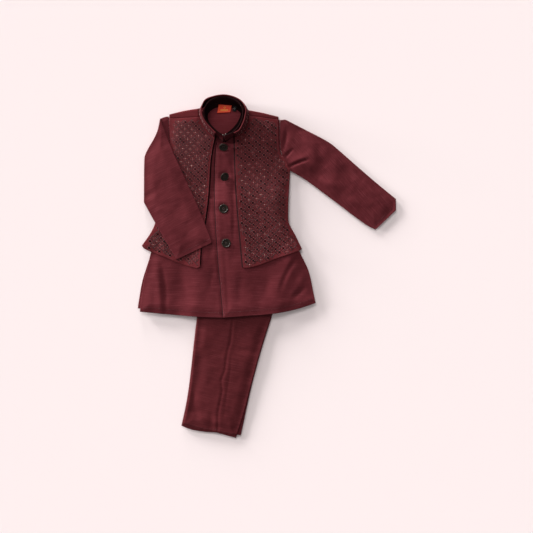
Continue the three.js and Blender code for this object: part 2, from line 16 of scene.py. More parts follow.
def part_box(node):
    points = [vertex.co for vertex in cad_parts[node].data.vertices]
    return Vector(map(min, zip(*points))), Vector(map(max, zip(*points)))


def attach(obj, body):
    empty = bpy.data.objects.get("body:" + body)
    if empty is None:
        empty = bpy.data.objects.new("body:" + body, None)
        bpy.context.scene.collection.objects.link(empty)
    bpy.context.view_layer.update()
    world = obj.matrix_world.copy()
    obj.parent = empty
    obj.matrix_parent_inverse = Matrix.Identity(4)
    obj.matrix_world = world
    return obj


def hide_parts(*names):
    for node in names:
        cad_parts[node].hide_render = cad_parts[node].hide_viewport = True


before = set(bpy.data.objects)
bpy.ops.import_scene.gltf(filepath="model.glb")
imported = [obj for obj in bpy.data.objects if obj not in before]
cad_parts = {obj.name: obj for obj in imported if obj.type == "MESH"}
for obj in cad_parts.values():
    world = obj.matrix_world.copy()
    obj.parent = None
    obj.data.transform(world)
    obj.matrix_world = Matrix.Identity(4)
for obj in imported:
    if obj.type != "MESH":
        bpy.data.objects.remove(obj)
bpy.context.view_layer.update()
draw = random.Random(7)

MM = 0.001
CLOTH = 0.8 * MM  # a layer of slub silk
PADDED = 1.9 * MM  # the waistcoat's lined and quilted fronts
CLEAR = 0.12 * MM  # least room kept between two layers
SHADE_LIP = 1.6 * MM  # how far a dark strip of painted shade shows past its cloth's edge, from under it
SHADE_LIP_RIM = 1.0 * MM  # and how far the painted shade reaches onto the upper face
DOWN = Vector((0, 0, -1))
SKY = 0.2  # height that rays start from

# Plan places are given in millimetres from the centre front at the hem. The third button is
# on the frame, so it carries them into the row frame.
BUTTON_3 = (-1.5, 238.9)
_low, _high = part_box("button_3")
ORIGIN = np.array([(_low.x + _high.x) / 2, (_low.y + _high.y) / 2]) - np.array(BUTTON_3) * MM


def plan(*points):
    """Places in garment millimetres as an array of row-frame metres."""
    return np.array(points, float) * MM + ORIGIN


def garment(xy):
    """Row-frame metres back to garment millimetres."""
    return (xy - ORIGIN) / MM


# Reading the frame


def node_mesh(name):
    """A node's points, merged, and its triangles."""
    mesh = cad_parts[name].data
    mesh.calc_loop_triangles()
    points = np.array([v.co for v in mesh.vertices], float)
    faces = np.array([t.vertices[:] for t in mesh.loop_triangles])
    keys, index = np.unique(np.round(points, 7), axis=0, return_inverse=True)
    faces = index.reshape(-1)[faces]
    whole = np.all(faces != np.roll(faces, 1, axis=1), axis=1)
    return keys, faces[whole]


def tree_of(points, faces):
    return BVHTree.FromPolygons(points.tolist(), faces.tolist())


def signed_area(loop):
    x, y = loop[:, 0], loop[:, 1]
    return 0.5 * float(np.sum(x * np.roll(y, -1) - np.roll(x, -1) * y))


def cross2(a, b):
    return a[..., 0] * b[..., 1] - a[..., 1] * b[..., 0]


def loops_of(faces):
    """The directed edges at the border of some faces, chained into loops of point numbers."""
    edges = {(int(f[i]), int(f[(i + 1) % 3])) for f in faces for i in range(3)}
    after = {}
    for a, b in sorted(edges):
        if (b, a) not in edges:
            after.setdefault(a, []).append(b)
    loops = []
    while after:
        start = next(iter(after))
        loop = [start]
        here = start
        while here in after:
            following = after[here].pop()
            if not after[here]:
                del after[here]
            if following == start:
                break
            loop.append(following)
            here = following
        loops.append(loop)
    return loops


def patches(name, side):
    """The outlines of what shows of a node from above (side 1) or from below (side -1)."""
    points, faces = node_mesh(name)
    tree = tree_of(points, faces)
    a, b, c = (points[faces[:, i]] for i in range(3))
    normal = np.cross(b - a, c - a)
    size = np.linalg.norm(normal, axis=1)
    middle = (a + b + c) / 3
    flat = (normal[:, 2] * side > 0.5 * size) & (size > 1e-12)
    shown = []
    for i in np.nonzero(flat)[0]:
        start = Vector((middle[i, 0], middle[i, 1], side * SKY))
        hit = tree.ray_cast(start, DOWN * side)[0]
        if hit is not None and side * (hit.z - middle[i, 2]) < 0.02 * MM:
            shown.append(i)
    owner = {}
    links = {int(i): [] for i in shown}
    for i in shown:
        for k in range(3):
            edge = tuple(sorted((int(faces[i][k]), int(faces[i][(k + 1) % 3]))))
            if edge in owner:
                links[int(i)].append(owner[edge])
                links[owner[edge]].append(int(i))
            else:
                owner[edge] = int(i)
    found = []
    left = set(links)
    while left:
        group = set()
        todo = [min(left)]
        left.discard(todo[0])
        while todo:
            i = todo.pop()
            group.add(i)
            fresh = [j for j in links[i] if j in left]
            left.difference_update(fresh)
            todo.extend(fresh)
        loops = [points[loop][:, :2] for loop in loops_of(faces[sorted(group)][:, ::side])]
        found.append(max(loops, key=lambda loop: abs(signed_area(loop))))
    found.sort(key=lambda loop: -abs(signed_area(loop)))
    return found


# Plane geometry


def turns(loop):
    into = loop - np.roll(loop, 1, axis=0)
    out = np.roll(loop, -1, axis=0) - loop
    return np.degrees(np.arctan2(cross2(into, out), np.sum(into * out, axis=1)))


def smooth_outline(loop, step, sharp=27, rounds=3):
    """A loop of even steps, with its corners kept and the stretches between them smoothed."""
    if signed_area(loop) < 0:
        loop = loop[::-1]
    loop = loop[np.linalg.norm(loop - np.roll(loop, 1, axis=0), axis=1) > 0.25 * MM]
    loop = loop[np.abs(turns(loop)) > 0.4]
    corners = np.nonzero(np.abs(turns(loop)) > sharp)[0]
    loop = np.roll(loop, -corners[0], axis=0)
    corners = np.append(corners - corners[0], len(loop))
    loop = np.vstack([loop, loop[:1]])
    made = []
    for first, last in zip(corners[:-1], corners[1:]):
        made.append(softened(resampled(loop[first : last + 1], step), rounds)[:-1])
    return np.vstack(made)


def reached(path):
    """How far along a path each of its points is."""
    return np.concatenate([[0], np.cumsum(np.linalg.norm(np.diff(path, axis=0), axis=1))])


def softened(path, rounds):
    """A path with its bends eased, and its ends where they were."""
    path = path.copy()
    for _ in range(rounds):
        path[1:-1] = 0.25 * path[:-2] + 0.5 * path[1:-1] + 0.25 * path[2:]
    return path


def bell(off, wide):
    """1 where a distance is nothing, fading to 0 across about this width."""
    return np.exp(-((off / wide) ** 2))


def resampled(path, step):
    length = reached(path)
    count = max(2, int(round(length[-1] / step)) + 1)
    places = np.linspace(0, length[-1], count)
    return np.stack([np.interp(places, length, path[:, k]) for k in range(path.shape[1])], axis=1)


def spline(points, count):
    """A Catmull-Rom curve through some points, at count even steps of its parameter."""
    padded = np.vstack([2 * points[0] - points[1], points, 2 * points[-1] - points[-2]])
    t = np.linspace(0, len(points) - 1, count)
    i = np.minimum(t.astype(int), len(points) - 2)
    f = (t - i)[:, None]
    a, b, c, d = (padded[i + k] for k in range(4))
    square = (2 * a - 5 * b + 4 * c - d) * f**2
    return 0.5 * (2 * b + (c - a) * f + square + (3 * b - a - 3 * c + d) * f**3)


def to_path(points, path):
    """Each point's distance to a path and how far along it the nearest place is, from 0 to 1."""
    nearest = np.full(len(points), np.inf)
    along = np.zeros(len(points))
    stretch = np.linalg.norm(np.diff(path, axis=0), axis=1)
    done = np.concatenate([[0], np.cumsum(stretch)])
    for i, (a, b) in enumerate(zip(path[:-1], path[1:])):
        line = b - a
        t = np.clip(((points - a) @ line) / max(line @ line, 1e-18), 0, 1)
        off = np.hypot(*(points - a - t[:, None] * line).T)
        closer = off < nearest
        nearest[closer] = off[closer]
        along[closer] = (done[i] + t[closer] * stretch[i]) / done[-1]
    return nearest, along


def inside(points, loop):
    within = np.zeros(len(points), bool)
    for a, b in zip(loop, np.roll(loop, -1, axis=0)):
        crosses = (a[1] > points[:, 1]) != (b[1] > points[:, 1])
        if a[1] != b[1]:
            at = a[0] + (points[:, 1] - a[1]) * (b[0] - a[0]) / (b[1] - a[1])
            within ^= crosses & (points[:, 0] < at)
    return within


def inset(loop, by):
    into = loop - np.roll(loop, 1, axis=0)
    out = np.roll(loop, -1, axis=0) - loop
    line = into / np.linalg.norm(into, axis=1)[:, None] + out / np.linalg.norm(out, axis=1)[:, None]
    line /= np.maximum(np.linalg.norm(line, axis=1), 1e-9)[:, None]
    return loop + by * np.stack([-line[:, 1], line[:, 0]], axis=1)


EDGE_RINGS = (0.5 * MM, 1.2 * MM, 2.4 * MM)  # rows of points beside an outline


class Region:
    """An outline filled with small triangles, finer beside its edge, for cloth to be made on."""

    def __init__(self, loop, step):
        self.loop = loop
        self.step = step
        closed = np.vstack([loop, loop[:1]])
        points = [loop]
        for by in EDGE_RINGS:
            if by < step:
                ring = inset(loop, by)
                off = to_path(ring, closed)[0]
                points.append(ring[(off > 0.85 * by) & inside(ring, loop)])
        low, high = loop.min(0), loop.max(0)
        grid = []
        for j, y in enumerate(np.arange(low[1], high[1], step * 0.866)):
            x = np.arange(low[0] + (j % 2) * step / 2, high[0], step)
            grid.append(np.stack([x, np.full(len(x), y)], axis=1))
        grid = np.vstack(grid)
        grid = grid[inside(grid, loop)]
        clear = 0.9 * step + (0.8 * MM if step > EDGE_RINGS[-1] else 0)
        points.append(grid[to_path(grid, closed)[0] > clear])
        stacked = [Vector(p) for p in np.vstack(points)]
        made = delaunay_2d_cdt(stacked, [], [list(range(len(loop)))], 1, 1e-8, False)
        self.xy = np.array([v[:] for v in made[0]], float)
        faces = np.array([f for f in made[2] if len(f) == 3])
        faces = faces[inside(self.xy[faces].mean(1), loop)]
        a, b, c = (self.xy[faces[:, i]] for i in range(3))
        turned = cross2(b - a, c - a)
        faces = faces[np.abs(turned) > 1e-12]
        turned = turned[np.abs(turned) > 1e-12]
        faces[turned < 0] = faces[turned < 0][:, ::-1]
        self.faces = faces
        self.edge = to_path(self.xy, closed)[0]
        pairs = np.sort(np.vstack([faces[:, [0, 1]], faces[:, [1, 2]], faces[:, [2, 0]]]), axis=1)
        self.pairs = np.unique(pairs, axis=0)
        self.degree = np.maximum(np.bincount(self.pairs.ravel(), minlength=len(self.xy)), 1)

    def around(self, values):
        """The mean of each point's neighbours."""
        a, b = self.pairs.T
        total = np.bincount(a, values[b], len(values)) + np.bincount(b, values[a], len(values))
        return total / self.degree

    def relaxed(self, values, reach):
        """Values smoothed over about this distance."""
        for _ in range(max(1, int(2 * (reach / self.step) ** 2))):
            values = 0.5 * values + 0.5 * self.around(values)
        return values

    def filled(self, values):
        """Values with their gaps taken from the points around."""
        values = values.copy()
        gaps = np.isnan(values)
        values[gaps] = np.nanmean(values)
        for _ in range(60):
            values[gaps] = self.around(values)[gaps]
        return values

    def stretch(self, first, last, by):
        """The outline's run between two garment places, anticlockwise, moved in by millimetres."""
        near = [int(np.argmin(np.hypot(*(self.loop - p).T))) for p in plan(first, last)]
        count = (near[1] - near[0]) % len(self.loop)
        run = [(near[0] + i) % len(self.loop) for i in range(count + 1)]
        return softened(inset(self.loop, by * MM)[run], 6)

    @property
    def area(self):
        a, b, c = (self.xy[self.faces[:, i]] for i in range(3))
        return 0.5 * float(np.abs(cross2(b - a, c - a)).sum())


def cast(tree, xy, side=1):
    """Heights where rays from above (side 1) or below (side -1) meet a tree; none is nan."""
    made = np.full(len(xy), np.nan)
    for i, (x, y) in enumerate(xy):
        hit = tree.ray_cast(Vector((x, y, side * SKY)), DOWN * side)[0]
        if hit is not None:
            made[i] = hit.z
    return made


def node_height(name, region, side, reach=11 * MM):
    """The smoothed height of a node's upper or lower face over a region."""
    raw = cast(tree_of(*node_mesh(name)), region.xy, side)
    raw[region.edge < 0.6 * MM] = np.nan
    return region.relaxed(region.filled(raw), reach)


# Creases and drape

# A crease is a row of x1, y1, x2, y2, bow, rise and wide: its ends, how far it bows to the
# left of their line, its height or, below zero, its depth, and its half-width, in millimetres


def bowed(x1, y1, x2, y2, bow, count=9):
    """A bowed line in garment millimetres, as row-frame metres."""
    t = np.linspace(0, 1, count)[:, None]
    a, b = np.array([x1, y1], float), np.array([x2, y2], float)
    side = np.array([a[1] - b[1], b[0] - a[0]]) / max(np.hypot(*(b - a)), 1e-9)
    return plan(*(a + (b - a) * t + side * bow * 4 * t * (1 - t)))


def faded(along):
    """0 at a path's ends and 1 half-way along it."""
    return np.sin(np.pi * np.clip(along, 0.02, 0.98))


def crease_height(xy, creases):
    """Soft troughs and ridges, each fading towards its ends."""
    total = np.zeros(len(xy))
    for x1, y1, x2, y2, bow, rise, wide in creases:
        off, along = to_path(xy, bowed(x1, y1, x2, y2, bow))
        total += rise * MM * bell(off, wide * MM) * faded(along) ** 0.6
    return total


def ripple(xy, size, deep, seed):
    """Uneven low swells about as wide as size."""
    return deep * np.array([noise.noise(Vector((x / size, y / size, seed))) for x, y in xy])


Swell = namedtuple("Swell", "wide deep seed")


def swollen(xy, swells):
    """The height of some swells given in millimetres."""
    return sum(ripple(xy, s.wide * MM, s.deep * MM, s.seed) for s in swells)


def loft(region, high, reach):
    """Cloth rises a little from its edges to its middle."""
    t = np.clip(region.edge / reach, 0, 1)
    return high * t * t * (3 - 2 * t)


def beside(xy, path, offset, wide):
    """1 where a place is this far from a path, fading to 0 across wide, on either side of it."""
    return bell(to_path(xy, path)[0] - offset, wide)


surfaces = {}  # the upper face of each piece made so far, as a tree, from the bottom up


def support(xy):
    """The height of what is already there under each place."""
    best = np.full(len(xy), -1.0)
    for tree in surfaces.values():
        best = np.fmax(best, np.nan_to_num(cast(tree, xy), nan=-1.0))
    return best


def settled(region, low):
    """A piece's underside, raised where it would meet what it lies on."""
    need = support(region.xy) + CLEAR
    short = region.relaxed(np.maximum(need - low, 0), 3 * MM)
    return np.maximum(low + np.maximum(short, 0), need)


# Making objects


def new_object(name, points, faces, material, uv=None, smooth=True):
    mesh = bpy.data.meshes.new(name)
    mesh.from_pydata(np.asarray(points).tolist(), [], [tuple(int(i) for i in f) for f in faces])
    if uv is not None:
        layer = mesh.uv_layers.new(name="weave")
        index = np.zeros(len(mesh.loops), np.int32)
        mesh.loops.foreach_get("vertex_index", index)
        layer.data.foreach_set("uv", np.asarray(uv, np.float32)[index].ravel())
    mesh.polygons.foreach_set("use_smooth", [smooth] * len(mesh.polygons))
    mesh.materials.append(material)
    mesh.update()
    made = bpy.data.objects.new(name, mesh)
    bpy.context.scene.collection.objects.link(made)
    return made


def weave_uv(xy, grain):
    """Cloth coordinates in metres, along the weft and the warp, turned by grain degrees."""
    turn = math.radians(grain)
    across = np.array([math.cos(turn), math.sin(turn)])
    along = np.array([-math.sin(turn), math.cos(turn)])
    return np.stack([xy @ across, xy @ along], axis=1)


def rounded(region, reach):
    """How far a face turns down at a folded edge of this radius."""
    t = np.clip(1 - region.edge / reach, 0, 1)
    return reach * (1 - np.sqrt(1 - t * t))


def border(region):
    """The directed border edges of a region's triangles."""
    faces = region.faces
    edges = {(int(f[i]), int(f[(i + 1) % 3])) for f in faces for i in range(3)}
    return sorted((a, b) for a, b in edges if (b, a) not in edges)


def in_mouth(region, mouths, a, b):
    middle = (region.xy[a] + region.xy[b])[None] / 2
    return any(to_path(middle, mouth)[0][0] < 2.5 * MM for mouth in mouths)


def two_layers(region, mouths=()):
    """Two layers over one region, joined at the edge but for the mouths."""
    count = len(region.xy)
    faces = [tuple(f) for f in region.faces] + [tuple(f[::-1] + count) for f in region.faces]
    for a, b in border(region):
        if not in_mouth(region, mouths, a, b):
            faces += [(b, a, a + count), (b, a + count, b + count)]
    return faces


def sheet_object(name, region, top, material, grain, thick=CLOTH, shade_edge=None, dark_rim=0.0):
    """One layer of cloth with a soft edge: its upper face, its lower face and its rim.

    shade_edge is a stretch of the outline along which a dark strip is painted as shade: there the
    lower face is pushed out past the edge, the whole underside and rim take the dark painted-shade
    finish, and so does the upper face within dark_rim of the stretch.
    """
    roll = rounded(region, 0.46 * thick)
    upper = np.column_stack([region.xy, top - roll])
    lower = np.column_stack([region.xy, top - thick + roll])
    faces = two_layers(region)
    if shade_edge is not None:
        near = (region.edge < 0.05 * MM) & (to_path(region.xy, shade_edge)[0] < 0.5 * MM)
        for i in np.nonzero(near)[0]:
            k = int(np.argmin(np.hypot(*(region.loop - region.xy[i]).T)))
            lower[i, :2] += inset(region.loop, -SHADE_LIP)[k] - region.loop[k]
    uv = weave_uv(region.xy, grain)
    made = new_object(name, np.vstack([upper, lower]), faces, material, np.vstack([uv, uv]))
    # The dark finish is painted shade: on the whole underside and rim, and on the upper face near
    # the shaded edge.
    if shade_edge is not None:
        made.data.materials.append(PAINTED_SHADE)
        rim = to_path(region.xy[region.faces].mean(1), shade_edge)[0] < dark_rim
        dark = [int(near) for near in rim] + [1] * (len(faces) - len(rim))
        made.data.polygons.foreach_set("material_index", dark)
    surfaces[name] = tree_of(upper, region.faces)
    return made


def tube_layers(region, top, low, mouths, turn=1.1 * MM):
    """The upper and lower faces of a tube pressed flat, brought together at its folded edges."""
    roll = np.minimum(rounded(region, turn), (top - low) / 2 - 0.02 * MM)
    for mouth in mouths:
        roll *= np.clip(to_path(region.xy, mouth)[0] / (3 * MM), 0, 1)
    return [np.column_stack([region.xy, top - roll]), np.column_stack([region.xy, low + roll])]


def tube_object(name, region, top, low, mouths, material, grain):
    """A sleeve or leg pressed flat, with folded edges and open mouths."""
    layers = tube_layers(region, top, low, mouths)
    uv = weave_uv(region.xy, grain)
    faces = two_layers(region, mouths)
    made = new_object(name, np.vstack(layers), faces, material, np.vstack([uv, uv]))
    add_wall(made)
    surfaces[name] = tree_of(layers[0], region.faces)
    return made


# How a flattened tube fills out, in millimetres: its least thickness, its thickness at the
# edge, and the rise of its middle over a distance in from the edge
Fill = namedtuple("Fill", "least thick rise reach")


def filled_out(region, base, low, fill, creases, swells, relief=0.0):
    """The upper face of a flattened tube, with its creases and swells."""
    top = base + fill.thick * MM + loft(region, fill.rise * MM, fill.reach * MM)
    top += crease_height(region.xy, creases) + relief
    top += swollen(region.xy, swells)
    return np.maximum(top, low + fill.least * MM)


def add_wall(made, thick=0.7 * MM):
    wall = made.modifiers.new("wall", "SOLIDIFY")
    wall.thickness = thick
    wall.offset = -1


def fit(piece, slot, *nodes):
    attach(piece, "root")
    if nodes:
        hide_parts(*nodes)
    return piece


# Small repeated things


def on_surface(tree, xy):
    """The places and normals of a surface above some points."""
    places, normals = [], []
    for x, y in xy:
        hit, normal, _, _ = tree.ray_cast(Vector((x, y, SKY)), DOWN)
        if hit is not None:
            places.append(hit[:])
            normals.append((normal if normal.z > 0 else -normal)[:])
    return np.array(places), np.array(normals)


def axes(along, up):
    """Turning matrices whose X runs along one direction and whose Z is near another."""
    x = along / np.linalg.norm(along, axis=1)[:, None]
    y = np.cross(up, x)
    y /= np.linalg.norm(y, axis=1)[:, None]
    return np.stack([x, y, np.cross(x, y)], axis=2)


def stamped(shape, places, turned, sizes):
    """Copies of a shape's points and faces at each place, as one set."""
    points, faces = shape
    scaled = points[None] * sizes[:, None, :]
    made = np.einsum("kij,knj->kni", turned, scaled) + places[:, None, :]
    count = len(points)
    numbered = [tuple(i + k * count for i in f) for k in range(len(places)) for f in faces]
    return made.reshape(-1, 3), numbered


def lattice(rows, size, ring=True, closed=False):
    """Faces between rows of points. Each row may be a ring, and the last may join the first."""
    faces = []
    for i in range(rows if closed else rows - 1):
        j = (i + 1) % rows
        for k in range(size if ring else size - 1):
            m = (k + 1) % size
            faces.append((i * size + k, i * size + m, j * size + m, j * size + k))
    return faces


def ends(rows, size):
    """The faces that close the first and the last of some rings."""
    return [tuple(range(size))[::-1], tuple((rows - 1) * size + k for k in range(size))]


def turned_shape(profile, sides, closed=False):
    """A profile of (radius, height) pairs turned round Z. A closed one is a ring's section."""
    points = []
    for r, z in profile:
        for k in range(sides):
            angle = 2 * math.pi * k / sides
            points.append((r * math.cos(angle), r * math.sin(angle), z))
    faces = lattice(len(profile), sides, closed=closed)
    return np.array(points), faces if closed else faces + ends(len(profile), sides)


def stitch_shape(sides=5):
    """A thread's visible stitch, one unit long and wide, with tapering ends along X."""
    points, faces = turned_shape([(0.16, -0.5), (0.5, -0.22), (0.5, 0.22), (0.16, 0.5)], sides)
    return points[:, [2, 0, 1]], faces


STITCH = stitch_shape()
SEQUIN_SECTION = [(1, 0.25), (0.62, 0.05), (0.2, 0), (0.2, -0.07), (0.6, -0.03), (0.99, 0.17)]
SEQUIN_SHAPE = turned_shape(SEQUIN_SECTION, 10, True)
BEAD_SHAPE = turned_shape([(0.25, -0.45), (0.5, -0.15), (0.5, 0.15), (0.25, 0.45)], 6)


def laid_stitches(tree, spots, direction, size):
    """Stitches at some spots of a surface, each along its direction and as the surface slopes."""
    kept = np.nonzero(~np.isnan(cast(tree, spots)))[0]
    places, normals = on_surface(tree, spots[kept])
    way = direction[kept]
    drop = -(normals[:, 0] * way[:, 0] + normals[:, 1] * way[:, 1]) / normals[:, 2]
    along = np.column_stack([way, drop])
    sizes = np.tile(np.array(size) * MM, (len(places), 1))
    return stamped(STITCH, places, axes(along, normals), sizes)


def sewn(tree, path, long=2.4, gap=0.9, wide=0.6):
    """Stitches along a path on a surface, in millimetres."""
    line = resampled(path, (long + gap) * MM)
    return laid_stitches(tree, line, np.gradient(line, axis=0), (long, wide, 0.55 * wide))


def joined(parts):
    points, faces, count = [], [], 0
    for p, f in parts:
        points.append(p)
        faces += [tuple(i + count for i in face) for face in f]
        count += len(p)
    return np.vstack(points), faces


def trim(name, parts, finish, slot):
    """Many small parts as one mesh."""
    return fit(new_object(name, *joined(parts), finish), slot)


def sewing(name, piece, slot, paths):
    """A piece's stitched rows as one mesh."""
    return trim(name, [sewn(surfaces[piece.name], path) for path in paths], SEWING, slot)


# Finishes


class Nodes:
    """A short way to build a shader's node tree."""

    def __init__(self, name):
        self.material = bpy.data.materials.new(name)
        self.material.use_nodes = True
        self.tree = self.material.node_tree
        self.shader = self.tree.nodes["Principled BSDF"]

    def add(self, kind, inputs=(), **settings):
        node = self.tree.nodes.new(kind)
        for key, value in settings.items():
            setattr(node, key, value)
        for key, value in dict(inputs).items():
            self.feed(node.inputs[key], value)
        return node

    def feed(self, socket, value):
        if isinstance(value, bpy.types.NodeSocket):
            self.tree.links.new(value, socket)
        else:
            socket.default_value = value

    def set(self, **values):
        for key, value in values.items():
            self.feed(self.shader.inputs[key.replace("_", " ")], value)

    def math(self, how, a, b=0.0, c=0.0):
        return self.add("ShaderNodeMath", {0: a, 1: b, 2: c}, operation=how).outputs[0]

    def noise(self, place, scale, detail=2.0, rough=0.5):
        spread = self.add("ShaderNodeVectorMath", {0: place, 1: scale}, operation="MULTIPLY")
        made = self.add(
            "ShaderNodeTexNoise",
            {"Vector": spread.outputs[0], "Scale": 1.0, "Detail": detail, "Roughness": rough},
        )
        return made.outputs["Fac"]

    def ramp(self, value, low, high, start=0.0, end=1.0):
        made = self.add(
            "ShaderNodeMapRange",
            {"Value": value, "From Min": low, "From Max": high, "To Min": start, "To Max": end},
            interpolation_type="SMOOTHSTEP",
        )
        return made.outputs[0]

    def mix(self, factor, a, b, blend="MIX"):
        made = self.add("ShaderNodeMix", data_type="RGBA", blend_type=blend)
        for socket, value in ((made.inputs[0], factor), (made.inputs[6], a), (made.inputs[7], b)):
            self.feed(socket, value)
        return made.outputs[2]


def srgb(r, g, b):
    def linear(value):
        value /= 255
        return value / 12.92 if value <= 0.04045 else ((value + 0.055) / 1.055) ** 2.4

    return (linear(r), linear(g), linear(b), 1.0)


def silk(name, colour, dark, light, slub=1.0):
    """Slub silk: uneven weft threads that catch the light, over a fine even warp."""
    n = Nodes(name)
    place = n.add("ShaderNodeUVMap", uv_map="weave").outputs[0]
    long_slub = n.noise(place, (22, 900, 1), 2.0)
    short_slub = n.noise(place, (60, 1300, 1), 1.0)
    weft = n.noise(place, (160, 2900, 1), 1.0)
    warp = n.noise(place, (2600, 130, 1), 1.0)
    cloud = n.noise(place, (13, 17, 1), 3.0)
    thick = n.ramp(long_slub, 0.54, 0.7)
    thin = n.ramp(long_slub, 0.46, 0.32)
    nub = n.ramp(short_slub, 0.6, 0.74)
    base = n.mix(n.ramp(cloud, 0.25, 0.75, 0.35, 1.0), dark, colour)
    base = n.mix(n.math("MULTIPLY", thick, 0.5 * slub), base, light)
    base = n.mix(n.math("MULTIPLY", thin, 0.5 * slub), base, dark)
    base = n.mix(n.math("MULTIPLY", nub, 0.25 * slub), base, light)
    base = n.mix(n.ramp(warp, 0.35, 0.65, 0.0, 0.12), base, light)
    relief = n.math("ADD", n.math("MULTIPLY", weft, 0.35), n.math("MULTIPLY", warp, 0.2))
    relief = n.math("ADD", relief, n.math("MULTIPLY", n.math("ADD", thick, nub), 0.35 * slub))
    bump = n.add("ShaderNodeBump", {"Height": relief, "Strength": 0.35, "Distance": 0.2 * MM})
    n.set(
        Base_Color=base,
        Roughness=n.ramp(weft, 0.3, 0.7, 0.46, 0.62),
        Normal=bump.outputs[0],
        Specular_IOR_Level=0.07,
        Specular_Tint=(1.0, 0.5, 0.5, 1),
        Sheen_Weight=0.06,
        Sheen_Roughness=0.4,
        Sheen_Tint=(0.7, 0.25, 0.28, 1),
    )
    return n.material


def plain(name, colour, roughness, grain=900, deep=0.2, metal=0.0, specular=0.3):
    """A finish with a fine uneven grain in its colour and surface."""
    n = Nodes(name)
    place = n.add("ShaderNodeTexCoord").outputs["Object"]
    speck = n.noise(place, (grain, grain, grain), 3.0)
    shade = tuple(0.6 * channel for channel in colour[:3]) + (1.0,)
    bump = n.add("ShaderNodeBump", {"Height": speck, "Strength": deep, "Distance": 0.1 * MM})
    n.set(
        Base_Color=n.mix(n.ramp(speck, 0.35, 0.65), shade, colour),
        Roughness=n.ramp(speck, 0.3, 0.7, 0.8 * roughness, 1.15 * roughness),
        Normal=bump.outputs[0],
        Metallic=metal,
        Specular_IOR_Level=specular,
    )
    return n.material


# The label's pattern, from its middle: a thin frame, a lozenge above and a bar below
FRAME_AT = (12.6 * MM, 7.2 * MM)
FRAME_LINE = 0.3 * MM
LOZENGE_UP = 2.8 * MM
LOZENGE_HALF = 2.6 * MM
LOZENGE_LINE = 0.8 * MM
BAR_DOWN = 3.2 * MM
BAR_HALF = (8.6 * MM, 1.9 * MM)


def label_weave():
    """Satin label: red-orange, with a plain gold frame, a lozenge and a bar woven in."""
    n = Nodes("label_satin")
    place = n.add("ShaderNodeUVMap", uv_map="weave").outputs[0]
    split = n.add("ShaderNodeSeparateXYZ", {0: place})
    x = n.math("ABSOLUTE", split.outputs[0])
    y = n.math("ABSOLUTE", split.outputs[1])
    past = [n.math("SUBTRACT", side, at) for side, at in zip((x, y), FRAME_AT)]
    edge = n.math("MAXIMUM", *past)
    frame_line = n.math("MULTIPLY", n.math("COMPARE", edge, 0.0, FRAME_LINE), 0.5)
    up = n.math("ABSOLUTE", n.math("SUBTRACT", split.outputs[1], LOZENGE_UP))
    slanted = n.math("ADD", x, n.math("MULTIPLY", up, 1.2))
    lozenge = n.math("COMPARE", slanted, LOZENGE_HALF, LOZENGE_LINE)
    down = n.math("ABSOLUTE", n.math("ADD", split.outputs[1], BAR_DOWN))
    bar = n.math("LESS_THAN", down, BAR_HALF[1])
    bar = n.math("MULTIPLY", bar, n.math("LESS_THAN", x, BAR_HALF[0]))
    gold = n.math("MAXIMUM", frame_line, lozenge)
    gold = n.math("MAXIMUM", gold, n.math("MULTIPLY", bar, 0.7))
    thread = n.noise(place, (5200, 700, 1), 2.0)
    red = n.mix(n.ramp(thread, 0.3, 0.7), srgb(222, 50, 26), srgb(255, 76, 38))
    yellow = n.mix(n.ramp(thread, 0.3, 0.7), srgb(236, 130, 48), srgb(255, 178, 78))
    relief = n.math("ADD", thread, n.math("MULTIPLY", gold, 1.5))
    bump = n.add("ShaderNodeBump", {"Height": relief, "Strength": 0.5, "Distance": 0.12 * MM})
    n.set(
        Base_Color=n.mix(gold, red, yellow),
        Roughness=n.ramp(thread, 0.3, 0.7, 0.38, 0.52),
        Normal=bump.outputs[0],
        Specular_IOR_Level=0.35,
    )
    return n.material


KURTA_SILK = silk("kurta_silk", srgb(90, 35, 40), srgb(70, 23, 28), srgb(114, 54, 60))
# A lighter copy of the kurta's silk: painted light on the back within the collar, where the collar
# shades it.
KURTA_PAINTED_LIGHT = silk("kurta_silk_painted_light", srgb(120, 48, 54), srgb(99, 34, 40), srgb(142, 68, 74))
PYJAMA_SILK = silk("pyjama_silk", srgb(83, 31, 35), srgb(65, 22, 26), srgb(104, 48, 52))
VEST_SILK = silk("waistcoat_silk", srgb(97, 36, 40), srgb(75, 24, 28), srgb(120, 57, 61), 0.6)
BAND_SILK = silk("band_silk", srgb(64, 20, 24), srgb(46, 12, 16), srgb(86, 35, 40), 0.5)
# A near-black finish that is painted shade: dark strips past cloth edges, the collar bands' inner
# faces, seams and the kurta band's rim, and a sheet inside the neck.
PAINTED_SHADE = plain("painted_shade_dark", srgb(33, 12, 14), 0.85, 1500, 0.3, 0.0, 0.05)
SEWING = plain("sewing_thread", srgb(82, 31, 36), 0.5, 2500, 0.4)
EMBROIDERY = plain("embroidery_thread", srgb(134, 72, 74), 0.45, 2500, 0.4)
EMBROIDERY_DARK = plain("dark_embroidery_thread", srgb(50, 15, 18), 0.5, 2500, 0.4)
# Bright and dark copies of the sequins' finish: a painted glint and a painted dark reflection.
SEQUIN_GLINT = plain("sequin", srgb(196, 158, 150), 0.32, 300, 0.05, 0.45)
SEQUIN_DARK_REFLECTION = plain("sequin_painted_dark_reflection", srgb(40, 12, 15), 0.45, 300, 0.05, 0.0, 0.12)
HORN = plain("dark_horn", srgb(42, 35, 29), 0.33, 420, 0.1, 0.0, 0.16)
BUTTON_THREAD = plain("button_thread", srgb(56, 46, 40), 0.6, 2500, 0.3)
STEEL = plain("hook_steel", srgb(150, 142, 138), 0.3, 400, 0.05, 1.0)
TAB_WEAVE = plain("tab_weave", srgb(18, 15, 16), 0.7, 2500, 0.4)
TAB_MARK = plain("tab_mark", srgb(176, 170, 168), 0.6, 2500, 0.3)
LABEL_WEAVE = label_weave()

